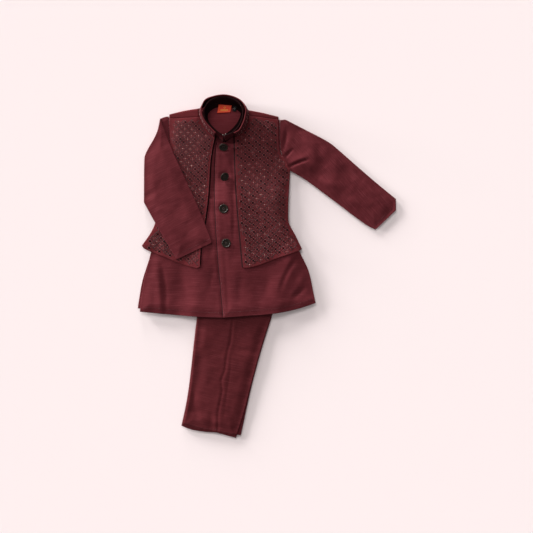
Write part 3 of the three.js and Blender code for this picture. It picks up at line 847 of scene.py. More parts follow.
# The outlines, from the frame

FINE = 2.4 * MM
COARSE = 5.0 * MM


def region_of(name, side=1, which=0, step=FINE):
    return Region(smooth_outline(patches(name, side)[which], 2.2 * MM), step)


# Pyjama, folded leg on leg

# Places along the upper leg's pressed side seam, from the kurta's hem down
SEAM = [
    (18, -6), (13.5, -51), (5.5, -81), (1.5, -116), (-6.8, -137), (-4.6, -161), (-10, -188),
    (-13.9, -208), (-15, -250),
]
SECOND_SEAM = [(15.6, -53), (13.6, -110), (8.6, -147), (5.5, -167), (-2.6, -236)]
LEG_GRAIN = -12.5  # degrees that the weft is turned from across the garment
LEG_CURL = 1.8 * MM  # how far the under leg's edges stand off the surface
CURL_REACH = 8 * MM
LEG_FILL = Fill(1.8, 2.0, 3.0, 26)
LEG_SWELLS = [Swell(45, 1.1, 3.0), Swell(14, 0.3, 9.0)]

leg_creases = [
    (-49, -60, -60, -160, 3, -1.6, 9),
    (-64, -150, -66, -226, -4, -2.0, 14),
    (-72, -196, -50, -222, 2, -1.8, 10),
    (-58, -205, -34, -244, -3, 1.2, 6),
    (-30, -206, -26, -246, 0, -1.2, 7),
    (30, -70, 70, -82, 3, -1.2, 7),
    (34, -100, 62, -120, -2, 0.8, 8),
    (12, -160, 48, -172, 3, 0.8, 9),
    (-30, -30, -52, -90, -4, 0.9, 12),
    (40, -20, 66, -60, 3, 0.8, 12),
    (2, -200, 26, -236, 3, -0.9, 8),
]


def seam_relief(xy):
    """A pressed seam: a narrow groove between two puckered swellings."""
    off, along = to_path(xy, resampled(plan(*SEAM), 4 * MM))
    low = -0.6 * MM * bell(off, 1.9 * MM)
    pucker = np.sin(along * 97) * np.sin(along * 41 + 1) + 0.6 * np.sin(along * 29)
    low += 0.12 * MM * pucker * bell(off, 8 * MM)
    low += 0.25 * MM * bell(off - 6 * MM, 4 * MM)
    off, along = to_path(xy, resampled(plan(*SECOND_SEAM), 4 * MM))
    return low - 0.35 * MM * bell(off, 2 * MM) * faded(along)


def make_pyjama():
    under_hem = plan((-89, -233), (-45, -246), (34.5, -258.5))
    region = region_of("pyjama_leg_right", -1, step=COARSE)
    curl = LEG_CURL * bell(region.edge, CURL_REACH)
    low = np.maximum(node_height("pyjama_leg_right", region, -1), 0) + curl
    top = node_height("pyjama_leg_right", region, 1) + curl
    look = (PYJAMA_SILK, LEG_GRAIN)
    right = tube_object("pyjama_leg_right_cloth", region, top, low, [under_hem], *look)
    fit(right, "pyjama_silk", "pyjama_leg_right")

    over_hem = plan((-93.5, -238.3), (-75.7, -245), (-46.2, -250.5), (-18.9, -252), (24, -263.8))
    region = region_of("pyjama_leg_left", step=2.7 * MM)
    low = settled(region, node_height("pyjama_leg_left", region, -1))
    relief = seam_relief(region.xy)
    top = filled_out(region, low, low, LEG_FILL, leg_creases, LEG_SWELLS, relief)
    left = tube_object("pyjama_leg_left_cloth", region, top, low, [over_hem], *look)
    fit(left, "pyjama_silk", "pyjama_leg_left")
    hem = plan((-88, -231), (-46, -243), (-19, -245), (22, -256.5))
    sewing("pyjama_hem_stitches", left, "pyjama_silk", [hem])

    waist_mouth = plan((6.5, 264), (111.5, 262))
    region = region_of("pyjama_waistband", step=COARSE)
    low = node_height("pyjama_waistband", region, -1)
    gathers = 0.35 * MM * np.sin(garment(region.xy)[:, 0] * 1.05)
    top = node_height("pyjama_waistband", region, 1) + gathers - 0.4 * MM
    band = tube_object("pyjama_waistband_cloth", region, top, low, [waist_mouth], PYJAMA_SILK, 0)
    fit(band, "pyjama_silk", "pyjama_waistband")
    return left


# Collar stations and buttons, which hold the cloth under them flat

# From the front end on the wearer's left, round the back, to the other end, in rows of x, y,
# rim_x and rim_y: the place on the neck seam and that of the band's top edge
KURTA_BAND = [
    (0.8, 385.5, 0.8, 399),
    (19, 398.5, 16.5, 404),
    (34.5, 415.5, 31, 418),
    (44, 436, 39.5, 437.5),
    (45, 453.5, 39.5, 456),
    (30, 465.5, 32, 472),
    (14.5, 469.5, 16.5, 480.5),
    (-1, 471, -1, 484),
    (-16.5, 470, -20.5, 480.5),
    (-30, 466, -35, 471.5),
    (-45, 455, -42.5, 456),
    (-45, 437, -42, 438),
    (-36.5, 421, -32.5, 423),
    (-18.5, 401, -15, 407),
    (-0.8, 385.5, -0.8, 399),
]
VEST_BAND = [
    (25, 397.5, 21.5, 403.5),
    (38, 406.5, 33, 411),
    (48, 423, 41.5, 427),
    (51.5, 440, 45.5, 441),
    (51.5, 454, 47, 457),
    (37, 468.5, 37.5, 473.5),
    (19, 474.8, 21, 483.3),
    (-1, 476.5, -1, 487.8),
    (-21, 474.5, -25, 484),
    (-38, 468, -42, 476),
    (-53, 456, -49.5, 458),
    (-53, 443.5, -48.5, 444),
    (-48.5, 431.5, -43, 431.5),
    (-41.5, 418, -34.5, 420.5),
    (-31, 406, -25.5, 411),
    (-22, 397.5, -18.5, 404),
]

# How far the dark sheet of painted shade reaches in from the kurta's neck seam, at each station of
# its band
NECK_SHADE_WIDTHS = [14, 13, 12, 10, 9, 8, 7, 7, 7, 8, 11, 7, 6, 8, 14]

# How each button hangs: degrees about X, then about Y
Button = namedtuple("Button", "node tilt_x tilt_y")
BUTTONS = [
    Button("button_1", 44, -6),
    Button("button_2", 28, 32),
    Button("button_3", 3, 0),
    Button("button_4", 0, 2),
]


# How far round each the cloth is held flat
SEAM_HOLDS = 8 * MM
BUTTON_HOLDS = 12 * MM


def pressed(xy):
    """How far the cloth is held flat, from 0 to 1, by the buttons and the kurta's neck seam."""
    seam = plan(*[row[:2] for row in KURTA_BAND])
    held = bell(to_path(xy, seam)[0], SEAM_HOLDS)
    for button in BUTTONS:
        low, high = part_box(button.node)
        off = np.hypot(xy[:, 0] - (low.x + high.x) / 2, xy[:, 1] - (low.y + high.y) / 2)
        held = np.maximum(held, np.exp(-((off / BUTTON_HOLDS) ** 4)))
    return held


# Kurta body

skirt_creases = [
    (-148, 118, -140, 2, 2, 3.4, 12),
    (-138, 114, -130, 6, 2, -2.2, 6),
    (-98, 104, -84, 30, 3, -0.7, 9),
    (-60, 92, -58, 20, 0, 0.7, 12),
    (-27, 118, -30, 60, 2, -1.0, 7),
    (160, 134, 122, 58, -4, -2.2, 6),
    (148, 124, 116, 60, 4, 1.0, 8),
    (178, 108, 142, 40, 3, 0.8, 9),
    (180, 66, 150, 40, -3, -1.7, 6),
    (196, 44, 160, 30, 2, 1.2, 8),
    (96, 96, 84, 40, 3, -0.9, 9),
    (60, 84, 62, 16, 0, 0.7, 14),
    (36, 92, 34, 30, -2, -0.6, 8),
]
front_creases = [
    (-30, 330, -24, 250, 2, -1.0, 5),
    (-40, 264, -26, 262, 0, -1.4, 3),
    (-36, 232, -30, 130, 3, -1.4, 7),
    (-25, 379, -10, 379, 0, -0.9, 2.5),
    (12, 352, 18, 330, 1, -0.7, 5),
    (14, 286, 18, 258, -1, -0.7, 5),
    (10, 222, 16, 196, 1, 0.6, 5),
    (-14, 150, 20, 140, -2, 0.45, 5),
    (18, 366, 20, 140, 1, -0.9, 4),
]
SKIRT_EDGE = [
    (-185, 18), (-140, 10), (-60, 1), (0, -3), (80, 2), (150, 12), (206, 26), (196, 60), (182, 100),
    (166, 140),
]
HEM_LIFT = 5.0 * MM  # how far the skirt's free edges stand off the surface
NECK_LIGHT_REACH = 56 * MM  # within this reach of the neck the back's silk is painted lighter: painted light where the collar shades it
KURTA_SWELLS = [Swell(55, 1.0, 1.0), Swell(16, 0.28, 5.0)]
FRONT_RISE = 2.4 * MM  # how far a front's middle stands above its edges
FRONT_REACH = 24 * MM
FRONT_SINK = 0.5 * MM  # deepest crease below the edges
NECK_RISE = 0.6 * MM  # and how far the back fills out within the collar
PLACKET_DIP = 0.9 * MM  # the under front, pressed by the placket's edge
PLACKET_RIDGE = 0.5 * MM  # the placket's turned edge
HEM_ROW = 11  # millimetres from the hem to its stitches
PLACKET = [(-18, 380), (-21.2, 325), (-20.5, 250), (-14.8, 145), (-1.8, 0)]


def skirt_lift(xy):
    return HEM_LIFT * beside(xy, resampled(plan(*SKIRT_EDGE), 4 * MM), 0, 30 * MM)


def front_relief(region):
    made = crease_height(region.xy, skirt_creases) + crease_height(region.xy, front_creases)
    made += swollen(region.xy, KURTA_SWELLS)
    made = np.maximum(made + loft(region, FRONT_RISE, FRONT_REACH), -FRONT_SINK)
    return made * (1 - pressed(region.xy)) + skirt_lift(region.xy)


def make_kurta_back():
    region = region_of("kurta_back", 1, step=4 * MM)
    low = settled(region, node_height("kurta_back", region, -1) + skirt_lift(region.xy))
    neck = np.exp(-(((region.xy - plan((0, 440))[0]) / (40 * MM)) ** 2).sum(1))
    top = low + CLOTH + NECK_RISE * neck * (1 + ripple(region.xy, 22 * MM, 1.0, 5.0))
    back = sheet_object("kurta_back_cloth", region, top, KURTA_SILK, 0)
    # Faces near the neck take the lighter copy of the silk: painted light where the collar shades
    # the back.
    back.data.materials.append(KURTA_PAINTED_LIGHT)
    off = np.linalg.norm(region.xy[region.faces].mean(1) - plan((0, 435))[0], axis=1)
    shown = [int(far < NECK_LIGHT_REACH) for far in off]
    rest = len(back.data.polygons) - len(shown)
    back.data.polygons.foreach_set("material_index", shown + [0] * rest)
    return region, fit(back, "kurta_silk", "kurta_back")


def make_kurta_fronts():
    """The wearer's right front lies under, and the left laps over it at the placket."""
    placket = resampled(plan(*PLACKET), 4 * MM)
    region = region_of("kurta_front_right")
    low = node_height("kurta_front_right", region, -1) + front_relief(region)
    low -= PLACKET_DIP * beside(region.xy, placket, 1.5 * MM, 3 * MM)
    low = settled(region, low)
    right = sheet_object("kurta_front_right_cloth", region, low + CLOTH, KURTA_SILK, 0)
    fit(right, "kurta_silk", "kurta_front_right")
    rows = [region.stretch((-183, 22), (-3, 1), HEM_ROW)]
    sewing("kurta_stitches_right", right, "kurta_silk", rows)

    region = region_of("kurta_front_left")
    thick = 1.25 * CLOTH
    low = node_height("kurta_front_left", region, -1) + front_relief(region)
    along = to_path(region.xy, placket)[1]
    ridge = beside(region.xy, placket, 3 * MM, 5 * MM) * (1 - pressed(region.xy))
    low += PLACKET_RIDGE * ridge * (1 + 0.3 * np.sin(along * 60))
    low = settled(region, low)
    # The left front's placket edge shows a dark strip of painted shade past it.
    edge = region.stretch((-18, 384), (0, 1), 0)
    left = sheet_object("kurta_front_left_cloth", region, low + thick, KURTA_SILK, 0, thick, edge)
    fit(left, "kurta_silk", "kurta_front_left")
    rows = [plan(*PLACKET) + np.array([3, 0]) * MM, region.stretch((0, 1), (205, 28), HEM_ROW)]
    sewing("kurta_stitches_left", left, "kurta_silk", rows)
    return right, left


# Sleeve that lies out, on the wearer's left

sleeve_creases = [
    (140, 330, 183, 347, 2, -5.2, 2.8),
    (146, 341, 190, 362, -2, 1.0, 7),
    (129, 345, 150, 369, 2, -3.6, 3),
    (135, 412, 126, 366, 3, -3.4, 4.5),
    (147, 414, 138, 372, 3, 0.7, 8),
    (166, 404, 178, 372, -3, -1.2, 9),
    (206, 384, 226, 330, -6, -2.2, 10),
    (190, 372, 204, 322, -3, 0.9, 10),
    (236, 362, 250, 316, 4, 0.5, 11),
    (186, 326, 214, 306, 3, -1.8, 7),
    (205, 300, 246, 286, 2, 1.3, 8),
    (256, 330, 284, 300, 4, -0.9, 9),
    (270, 262, 300, 250, -2, 0.8, 8),
    (300, 300, 330, 262, 3, 0.8, 12),
    (318, 246, 338, 216, 2, -0.8, 8),
]
LEFT_GRAIN = -48
LEFT_SWELLS = [Swell(42, 1.2, 2.0), Swell(13, 0.3, 6.0)]
LEFT_FILL = Fill(1.9, 1.6, 2.4, 30)
SLEEVE_CURL = 2.6 * MM
ARMHOLE_LEFT = [(141.8, 324.5), (134, 341), (125, 362), (122.3, 390), (122, 433)]
CUFF_LEFT = [(332.6, 193.8), (376.5, 235.7)]


def make_sleeve_left():
    mouths = [plan(*CUFF_LEFT), resampled(plan(*ARMHOLE_LEFT), 4 * MM)]
    region = region_of("sleeve_left", step=2.2 * MM)
    curl = SLEEVE_CURL * bell(region.edge, CURL_REACH)
    low = settled(region, np.maximum(node_height("sleeve_left", region, -1), 0) + curl)
    base = node_height("sleeve_left", region, 1)
    top = filled_out(region, base, low, LEFT_FILL, sleeve_creases, LEFT_SWELLS)
    made = tube_object("sleeve_left_cloth", region, top, low, mouths, KURTA_SILK, LEFT_GRAIN)
    fit(made, "kurta_silk", "sleeve_left")
    sewing("sleeve_left_stitches", made, "kurta_silk", [plan((328, 201), (369, 241))])
    return made


# Sleeve folded across the front, on the wearer's right

folded_creases = [
    (-174, 262, -150, 276, 2, -1.2, 7),
    (-168, 300, -140, 296, 2, 0.8, 9),
    (-150, 240, -118, 226, 3, 0.8, 9),
    (-130, 330, -96, 300, 4, -0.7, 9),
    (-110, 250, -84, 226, -3, -0.8, 9),
    (-120, 200, -86, 178, 3, 0.7, 10),
    (-96, 152, -60, 166, 2, -0.5, 7),
    (-144, 400, -132, 372, 2, -0.8, 6),
]
FOLD = [(-141, 436), (-149, 404), (-172, 362), (-175.8, 340), (-176.4, 253)]
ARMHOLE_RIGHT = [(-121.8, 440.5), (-123, 391), (-125.5, 362), (-132.5, 342), (-139.8, 322.5)]
CUFF_RIGHT = [(-104.6, 128.2), (-27.2, 164.4)]
FOLDED_SWELLS = [Swell(44, 1.0, 14.0), Swell(13, 0.25, 16.0)]
OVER_FILL = Fill(1.8, 2.6, 2.8, 26)
UNDER_FILL = Fill(1.9, 1.9, 0.8, 12)
OVER_THICK = 2.2 * MM  # the folded layer's solid
OVER_GRAIN = 27
UNDER_GRAIN = 20


def border_run(region, path, reach):
    """The border points that lie along a path, in the path's order."""
    numbers = sorted({i for edge in border(region) for i in edge})
    off, along = to_path(region.xy[numbers], path)
    chosen = [(t, i) for t, i, d in zip(along, numbers, off) if d < reach]
    return np.array([i for _, i in sorted(chosen)])


def zipped(first, second, points):
    """Triangles between two runs of points that lie side by side."""

    def progress(run):
        steps = np.linalg.norm(np.diff(points[run], axis=0), axis=1)
        return np.concatenate([[0], np.cumsum(steps)]) / max(steps.sum(), 1e-9)

    a, b = progress(first), progress(second)
    i = j = 0
    faces = []
    while i < len(first) - 1 or j < len(second) - 1:
        if j == len(second) - 1 or (i < len(first) - 1 and a[i + 1] <= b[j + 1]):
            faces.append((first[i], first[i + 1], second[j]))
            i += 1
        else:
            faces.append((first[i], second[j + 1], second[j]))
            j += 1
    return faces


def make_sleeve_right():
    fold = resampled(plan(*FOLD), 3 * MM)
    armhole = resampled(plan(*ARMHOLE_RIGHT), 4 * MM)
    under = region_of("sleeve_right", -1, 1, step=2.2 * MM)
    over = region_of("sleeve_right", 1, step=2.2 * MM)
    under_low = settled(under, np.maximum(node_height("sleeve_right", under, -1), 0))
    under_top = filled_out(under, under_low, under_low, UNDER_FILL, [], [])
    surfaces["sleeve_right_under"] = tree_of(np.column_stack([under.xy, under_top]), under.faces)
    over_low = settled(over, node_height("sleeve_right", over, 1) - OVER_THICK)
    over_low = np.maximum(over.relaxed(over_low, 4 * MM), support(over.xy) + CLEAR)
    base = over.relaxed(over_low, 12 * MM)
    over_top = filled_out(over, base, over_low, OVER_FILL, folded_creases, FOLDED_SWELLS)

    points, faces, uv, starts = [], [], [], []
    parts = (
        (under, under_top, under_low, [armhole, fold], UNDER_GRAIN),
        (over, over_top, over_low, [plan(*CUFF_RIGHT), fold], OVER_GRAIN),
    )
    for region, top, low, mouths, grain in parts:
        first = sum(len(p) for p in points)
        starts.append(first)
        points += tube_layers(region, top, low, mouths)
        uv += [weave_uv(region.xy, grain)] * 2
        faces += [tuple(i + first for i in f) for f in two_layers(region, mouths)]
    points = np.vstack(points)
    under_run = border_run(under, fold, 2.5 * MM) + starts[0]
    over_run = border_run(over, fold, 2.5 * MM) + starts[1]
    outer = zipped(under_run + len(under.xy), over_run, points)
    inner = zipped(under_run, over_run + len(over.xy), points)
    faces += outer + [f[::-1] for f in inner]
    made = new_object("sleeve_right_cloth", points, faces, KURTA_SILK, np.vstack(uv))
    add_wall(made)
    surfaces[made.name] = tree_of(points[starts[1] : starts[1] + len(over.xy)], over.faces)
    fit(made, "kurta_silk", "sleeve_right")
    sewing("sleeve_right_stitches", made, "kurta_silk", [plan((-108.5, 136.5), (-31, 172.5))])
    return made


# Waistcoat

vest_creases = [
    (100, 322, 142, 306, 2, -1.6, 4.5),
    (104, 334, 140, 322, 2, 1.2, 6),
    (110, 306, 142, 288, 2, 1.1, 6),
    (112, 296, 140, 276, -2, -1.1, 5),
    (108, 232, 140, 226, 2, -0.9, 6),
    (118, 190, 150, 176, 3, 1.0, 8),
    (86, 380, 112, 400, 2, -0.7, 8),
    (-60, 300, -54, 230, 2, -0.8, 8),
    (-96, 400, -80, 340, 3, 0.8, 10),
    (-150, 200, -170, 168, 2, 1.1, 8),
    (-120, 150, -150, 162, 2, -0.9, 6),
    (66, 456, 67, 416, 0, -1.1, 2.6),
    (-70.5, 458, -70.5, 434, 0, -0.9, 2.6),
]

# A front's embroidery repeats along two vectors, with a sequin at each corner and centre. Its
# runs of outline go anticlockwise, and all are in garment millimetres.
Front = namedtuple("Front", "x y across down free armhole hem grain")
FRONTS = {
    "waistcoat_front_right": Front(
        -115.3, 444.8, (16.0, -0.4), (-1.7, -14.6),
        free=((-43, 115), (-20, 397)),
        armhole=((-121, 436), (-144, 325)),
        hem=((-181, 158), (-44, 114)),
        grain=-2,
    ),
    "waistcoat_front_left": Front(
        79.9, 206.8, (16.5, 2.7), (0.1, -15.7),
        free=((22, 397), (40, 112)),
        armhole=((144, 325), (119, 434)),
        hem=((42, 112), (170, 150)),
        grain=2,
    ),
}
VEST_SWELLS = [Swell(60, 0.6, 11.0)]
VEST_RISE = 1.0 * MM  # how far a front's middle stands above its edges
VEST_REACH = 18 * MM
VEST_SINK = 0.4 * MM  # deepest dimple below the edges
VEST_BELOW = 1.0 * MM  # its underside is this far below the solid's top
FREE_EDGE_LIFT = 0.5 * MM
FREE_ROWS = (2, 6)  # rows of stitches, in millimetres from each edge
ARMHOLE_ROW = 2.6
VEST_HEM_ROW = 3
REACH = 26  # repeats tried each way from the first place
QUILT_MARGIN = 6  # from a front's edge to its outermost sequins
QUILT_DEEP = 0.5 * MM  # the dimple under each sequin
QUILT_WIDE = 2.4 * MM
SEQUIN_SIZE = (1.25, 1.65)  # smallest and largest radius, of the dull ones
BRIGHT_SIZE = 0.68  # and the share of it that the painted-glint and the painted-dark ones have
DARK_SIZE = 1.45
RING_RADIUS = 3.4 * MM  # of the stitches round each sequin
RING_STITCH = (2.3, 1.0, 0.8)  # long, wide and high


def quilt_places(front, region, margin, shift=(0, 0)):
    """Places of a front's repeat, with the cloth's small distortion, inside its border."""
    across = np.array(front.across)
    down = np.array(front.down)
    steps = range(-REACH, REACH + 1)
    made = np.array([
        np.array([front.x, front.y]) + across * (i + half + shift[0]) + down * (j + half + shift[1])
        for i in steps for j in steps for half in (0, 0.5)
    ])
    bend = [[noise.noise(Vector((x / 55, y / 55, seed))) for seed in (31.0, 57.0)] for x, y in made]
    made = plan(*(made + 2.2 * np.array(bend)))
    made = made[inside(made, region.loop)]
    closed = np.vstack([region.loop, region.loop[:1]])
    return made[to_path(made, closed)[0] > margin * MM]


def shine(x, y):
    """The share of sequins given the bright finish, a painted glint, at a place on the fronts."""
    if x < 0:
        return 0.5 if y > 320 else 0.2
    if y > 350:
        return 0.04
    if y > 240:
        return 0.2
    return 0.3 if x < 95 and y < 200 else 0.1


def embroider(name, region):
    """Sequins with a bead on each, a ring of stitches round it, and diamonds of darker thread."""
    front = FRONTS[name]
    tree = surfaces[name + "_cloth"]
    spots, normals = on_surface(tree, quilt_places(front, region, QUILT_MARGIN))
    chance = np.array([draw.random() for _ in spots])
    share = np.array([shine(x, y) for x, y in garment(spots[:, :2])])
    tilt = np.array([[draw.gauss(0, 0.14), draw.gauss(0, 0.14), 0] for _ in spots])
    turned = axes(np.tile([1.0, 0.02, 0.0], (len(spots), 1)), normals + tilt)
    dull = share + 0.2 * (1 - share)
    kind = np.where(chance < share, BRIGHT_SIZE, np.where(chance < dull, 1.0, DARK_SIZE))
    sizes = np.array([[draw.uniform(*SEQUIN_SIZE) * MM * k] * 3 for k in kind])
    lifted = spots + normals * 0.25 * MM
    # Bright sequins carry a painted glint, dark ones a painted dark reflection; the rest take the
    # thread's colour.
    kinds = (
        ("bright", chance < share, SEQUIN_GLINT),
        ("thread", (chance >= share) & (chance < dull), EMBROIDERY),
        ("dark", chance >= dull, SEQUIN_DARK_REFLECTION),
    )
    for label, chosen, finish in kinds:
        made = stamped(SEQUIN_SHAPE, lifted[chosen], turned[chosen], sizes[chosen])
        trim(f"{name}_sequins_{label}", [made], finish, "embroidered_silk")

    across, down = np.array(front.across), np.array(front.down)
    corners = quilt_places(front, region, QUILT_MARGIN - 1, (0.5, 0))
    dark = [stamped(BEAD_SHAPE, spots + normals * 0.55 * MM, turned, 0.5 * sizes)]
    for way in ((across + down) / 2, (across - down) / 2):
        for share in (0.2, 0.5, 0.8):
            at = corners + way * share * MM
            at = at[inside(at, inset(region.loop, 5 * MM))]
            direction = np.tile(way, (len(at), 1))
            dark.append(laid_stitches(tree, at, direction, (0.3 * np.hypot(*way), 1.7, 0.8)))
    rings = []
    for turn in range(0, 360, 45):
        out = np.array([math.cos(math.radians(turn)), math.sin(math.radians(turn))])
        at = spots[:, :2] + out * RING_RADIUS
        direction = np.tile([-out[1], out[0]], (len(at), 1))
        ring = dark if turn % 90 else rings
        ring.append(laid_stitches(tree, at, direction, RING_STITCH))
    trim(f"{name}_quilting", dark, EMBROIDERY_DARK, "embroidered_silk")
    trim(f"{name}_embroidery", rings, EMBROIDERY, "embroidered_silk")


def make_vest_back():
    region = region_of("waistcoat_back", -1, step=4 * MM)
    low = settled(region, np.maximum(node_height("waistcoat_back", region, -1), 0))
    return region, sheet_object("waistcoat_back_cloth", region, low + CLOTH, VEST_SILK, 0)


def make_vest_front(name):
    front = FRONTS[name]
    region = region_of(name, step=2.0 * MM)
    raised = loft(region, VEST_RISE, VEST_REACH) + crease_height(region.xy, vest_creases)
    raised += swollen(region.xy, VEST_SWELLS)
    edge = region.stretch(*front.free, 0)
    raised += FREE_EDGE_LIFT * beside(region.xy, edge, 0, 7 * MM)
    for spot in quilt_places(front, region, QUILT_MARGIN):
        off = np.hypot(*(region.xy - spot).T)
        raised -= QUILT_DEEP * bell(off, QUILT_WIDE)
    low = node_height(name, region, 1) - VEST_BELOW + np.maximum(raised, -VEST_SINK)
    low = settled(region, low)
    # The free edge shows a dark strip of painted shade past it and along its upper face.
    look = (VEST_SILK, front.grain, PADDED, edge, SHADE_LIP_RIM)
    made = sheet_object(name + "_cloth", region, low + PADDED, *look)
    fit(made, "embroidered_silk", name)
    rows = [region.stretch(*front.free, by) for by in FREE_ROWS]
    rows.append(region.stretch(*front.armhole, ARMHOLE_ROW))
    rows.append(region.stretch(*front.hem, VEST_HEM_ROW))
    sewing(name + "_stitches", made, "embroidered_silk", rows)
    embroider(name, region)
    return made


def make_shoulders():
    """The waistcoat's back, turned over the shoulders and sewn to its fronts."""
    shoulders = []
    for which in (1, 2):
        outline = smooth_outline(patches("waistcoat_back", 1)[which], 2.2 * MM)
        region = Region(outline, 2.2 * MM)
        side = "right" if outline[:, 0].mean() < ORIGIN[0] else "left"
        upper = node_height("waistcoat_back", region, 1) + 0.6 * MM
        edge_low = node_height("waistcoat_back", region, -1)
        top = np.maximum(upper, support(region.xy) + CLEAR + CLOTH)
        back_side = np.clip((region.xy[:, 1] - outline[:, 1].mean()) / (4 * MM), 0, 1)
        reach_down = (top - CLOTH - edge_low) * 0.85 * back_side
        low = top - CLOTH - np.where(region.edge > 2.4 * MM, 0, reach_down)
        roll = rounded(region, 2.2 * MM) * (0.25 + 0.75 * back_side)
        points = [np.column_stack([region.xy, high]) for high in (top - roll, low)]
        uv = np.vstack([weave_uv(region.xy, 0)] * 2)
        name = "waistcoat_shoulder_" + side
        made = new_object(name, np.vstack(points), two_layers(region), VEST_SILK, uv)
        fit(made, "kurta_silk")
        surfaces[made.name] = tree_of(points[0], region.faces)
        shoulders.append(made)
    return shoulders


# Collars


BAND_THICK = 2.2  # millimetres
BAND_BOW = 0.8 * MM  # a band bulges outwards
BAND_PAD = 0.3 * MM  # and its faces are padded
TOP_ROW = 0.86  # share of its height where the padding ends, in a row of stitches
BAND_ROW = (3.2, (2.3, 0.5, 0.3))  # spacing of the stitches, then long, wide and high


class Band:
    """A standing collar: a padded band lofted from its seam to a rounded top edge."""

    def __init__(self, node, stations, high, thick, count=150):
        seam = spline(plan(*[row[:2] for row in stations]), count)
        rim = spline(plan(*[row[2:] for row in stations]), count)
        seat = cast(tree_of(*node_mesh(node)), seam, -1)
        known = ~np.isnan(seat)
        seat = np.interp(np.arange(count), np.nonzero(known)[0], seat[known])
        seat = np.maximum(seat, support(seam) + CLEAR)
        seat = softened(seat, 30)
        lean = np.hypot(*(rim - seam).T)
        rise = np.sqrt(np.maximum((high * MM) ** 2 - lean**2, (0.3 * high * MM) ** 2))
        self.low = np.column_stack([seam, seat])
        self.high = np.column_stack([rim, seat + rise])
        along = np.gradient(self.low, axis=0)
        self.along = along / np.linalg.norm(along, axis=1)[:, None]
        out = np.cross(self.along, self.high - self.low)
        self.out = out / np.linalg.norm(out, axis=1)[:, None]
        self.thick = thick * MM
        self.tall = high * MM

    def at(self, share, off):
        """The curve at a share of the band's height, moved out from its middle face."""
        bow = BAND_BOW * math.sin(math.pi * share)
        return self.low + (self.high - self.low) * share + self.out * (off + bow)

    def mesh(self):
        half = self.thick / 2
        tip = half / self.tall
        section = [(s, half) for s in (0.0, 0.2, 0.4, 0.6, 0.75, 0.86, 0.93)]
        for angle in (20, 50, 90, 130, 160):
            turn = math.radians(angle)
            section.append((1 - tip + tip * math.sin(turn), half * math.cos(turn)))
        section += [(s, -half) for s in (0.93, 0.86, 0.75, 0.6, 0.4, 0.2, 0.0)]
        rows = []
        for s, off in section:
            pad = BAND_PAD * math.sin(math.pi * s / TOP_ROW) ** 0.5 if s < TOP_ROW else 0
            rows.append(self.at(s, off + math.copysign(pad, off)))
        points = np.stack(rows, axis=1)
        count, size = points.shape[:2]
        faces = [(a, d, c, b) for a, b, c, d in lattice(count, size)]
        faces += [f[::-1] for f in ends(count, size)]
        uv = [(x, s * self.tall) for x in reached(self.low) for s, _ in section]
        # Faces take 0, the band's silk, on the outer face; 1, the dark painted shade, on the inner
        # face and the outer face's foot at the seam; 2, the rim's finish.
        parts = [0 if off > 0 and 0.1 < s < 0.94 else 1 if s < 0.9 else 2 for s, off in section]
        return points.reshape(-1, 3), faces, uv, parts * (count - 1) + [0, 0]

    def neck_shade(self, widths):
        """A dark sheet of painted shade where the collar shades the neck: up the band's inner face
        from the seam, and out over the cloth inside.
        """
        half = self.thick / 2
        stations = np.linspace(0, len(widths) - 1, len(self.low))
        wide = np.interp(stations, np.arange(len(widths)), widths)[:, None]
        flat = np.column_stack([-self.out[:, :2], np.zeros(len(self.out))])
        flat /= np.linalg.norm(flat, axis=1)[:, None]
        rows = [self.at(share, -half - 0.1 * MM) for share in (0.5, 0.3, 0.12)]
        for reach in (0.25, 0.6, 1.0):
            row = self.low + flat * (half + reach * wide * MM)
            row[:, 2] = support(row[:, :2]) + (0.9 - 0.6 * reach) * MM
            rows.append(softened(row, 8))
        points = np.stack(rows, axis=1)
        faces = [(a, d, c, b) for a, b, c, d in lattice(*points.shape[:2], ring=False)]
        return points.reshape(-1, 3), faces

    def row(self, share, off, shape, spacing, size):
        """Small shapes along the band's face at a share of its height."""
        line = resampled(self.at(share, off), spacing * MM)[1:-1]
        near = np.linspace(0, len(self.out) - 1, len(line)).astype(int)
        up = self.out[near] * math.copysign(1, off)
        sizes = np.tile(np.array(size) * MM, (len(line), 1))
        return stamped(shape, line, axes(np.gradient(line, axis=0), up), sizes)


def make_collar(name, stations, high, slot, rim):
    band = Band(name, stations, high, BAND_THICK)
    points, faces, uv, parts = band.mesh()
    made = new_object(name + "_cloth", points, faces, BAND_SILK, uv)
    # The dark second finish is painted shade on the inner face and at the seam.
    made.data.materials.append(PAINTED_SHADE)
    made.data.materials.append(rim)
    made.data.polygons.foreach_set("material_index", parts)
    fit(made, slot, name)
    face = band.thick / 2 + 0.15 * MM
    places = [(share, off) for share in (0.1, TOP_ROW) for off in (face, -face)]
    rows = [band.row(share, off, STITCH, *BAND_ROW) for share, off in places]
    trim(name + "_stitches", rows, SEWING, slot)
    return band


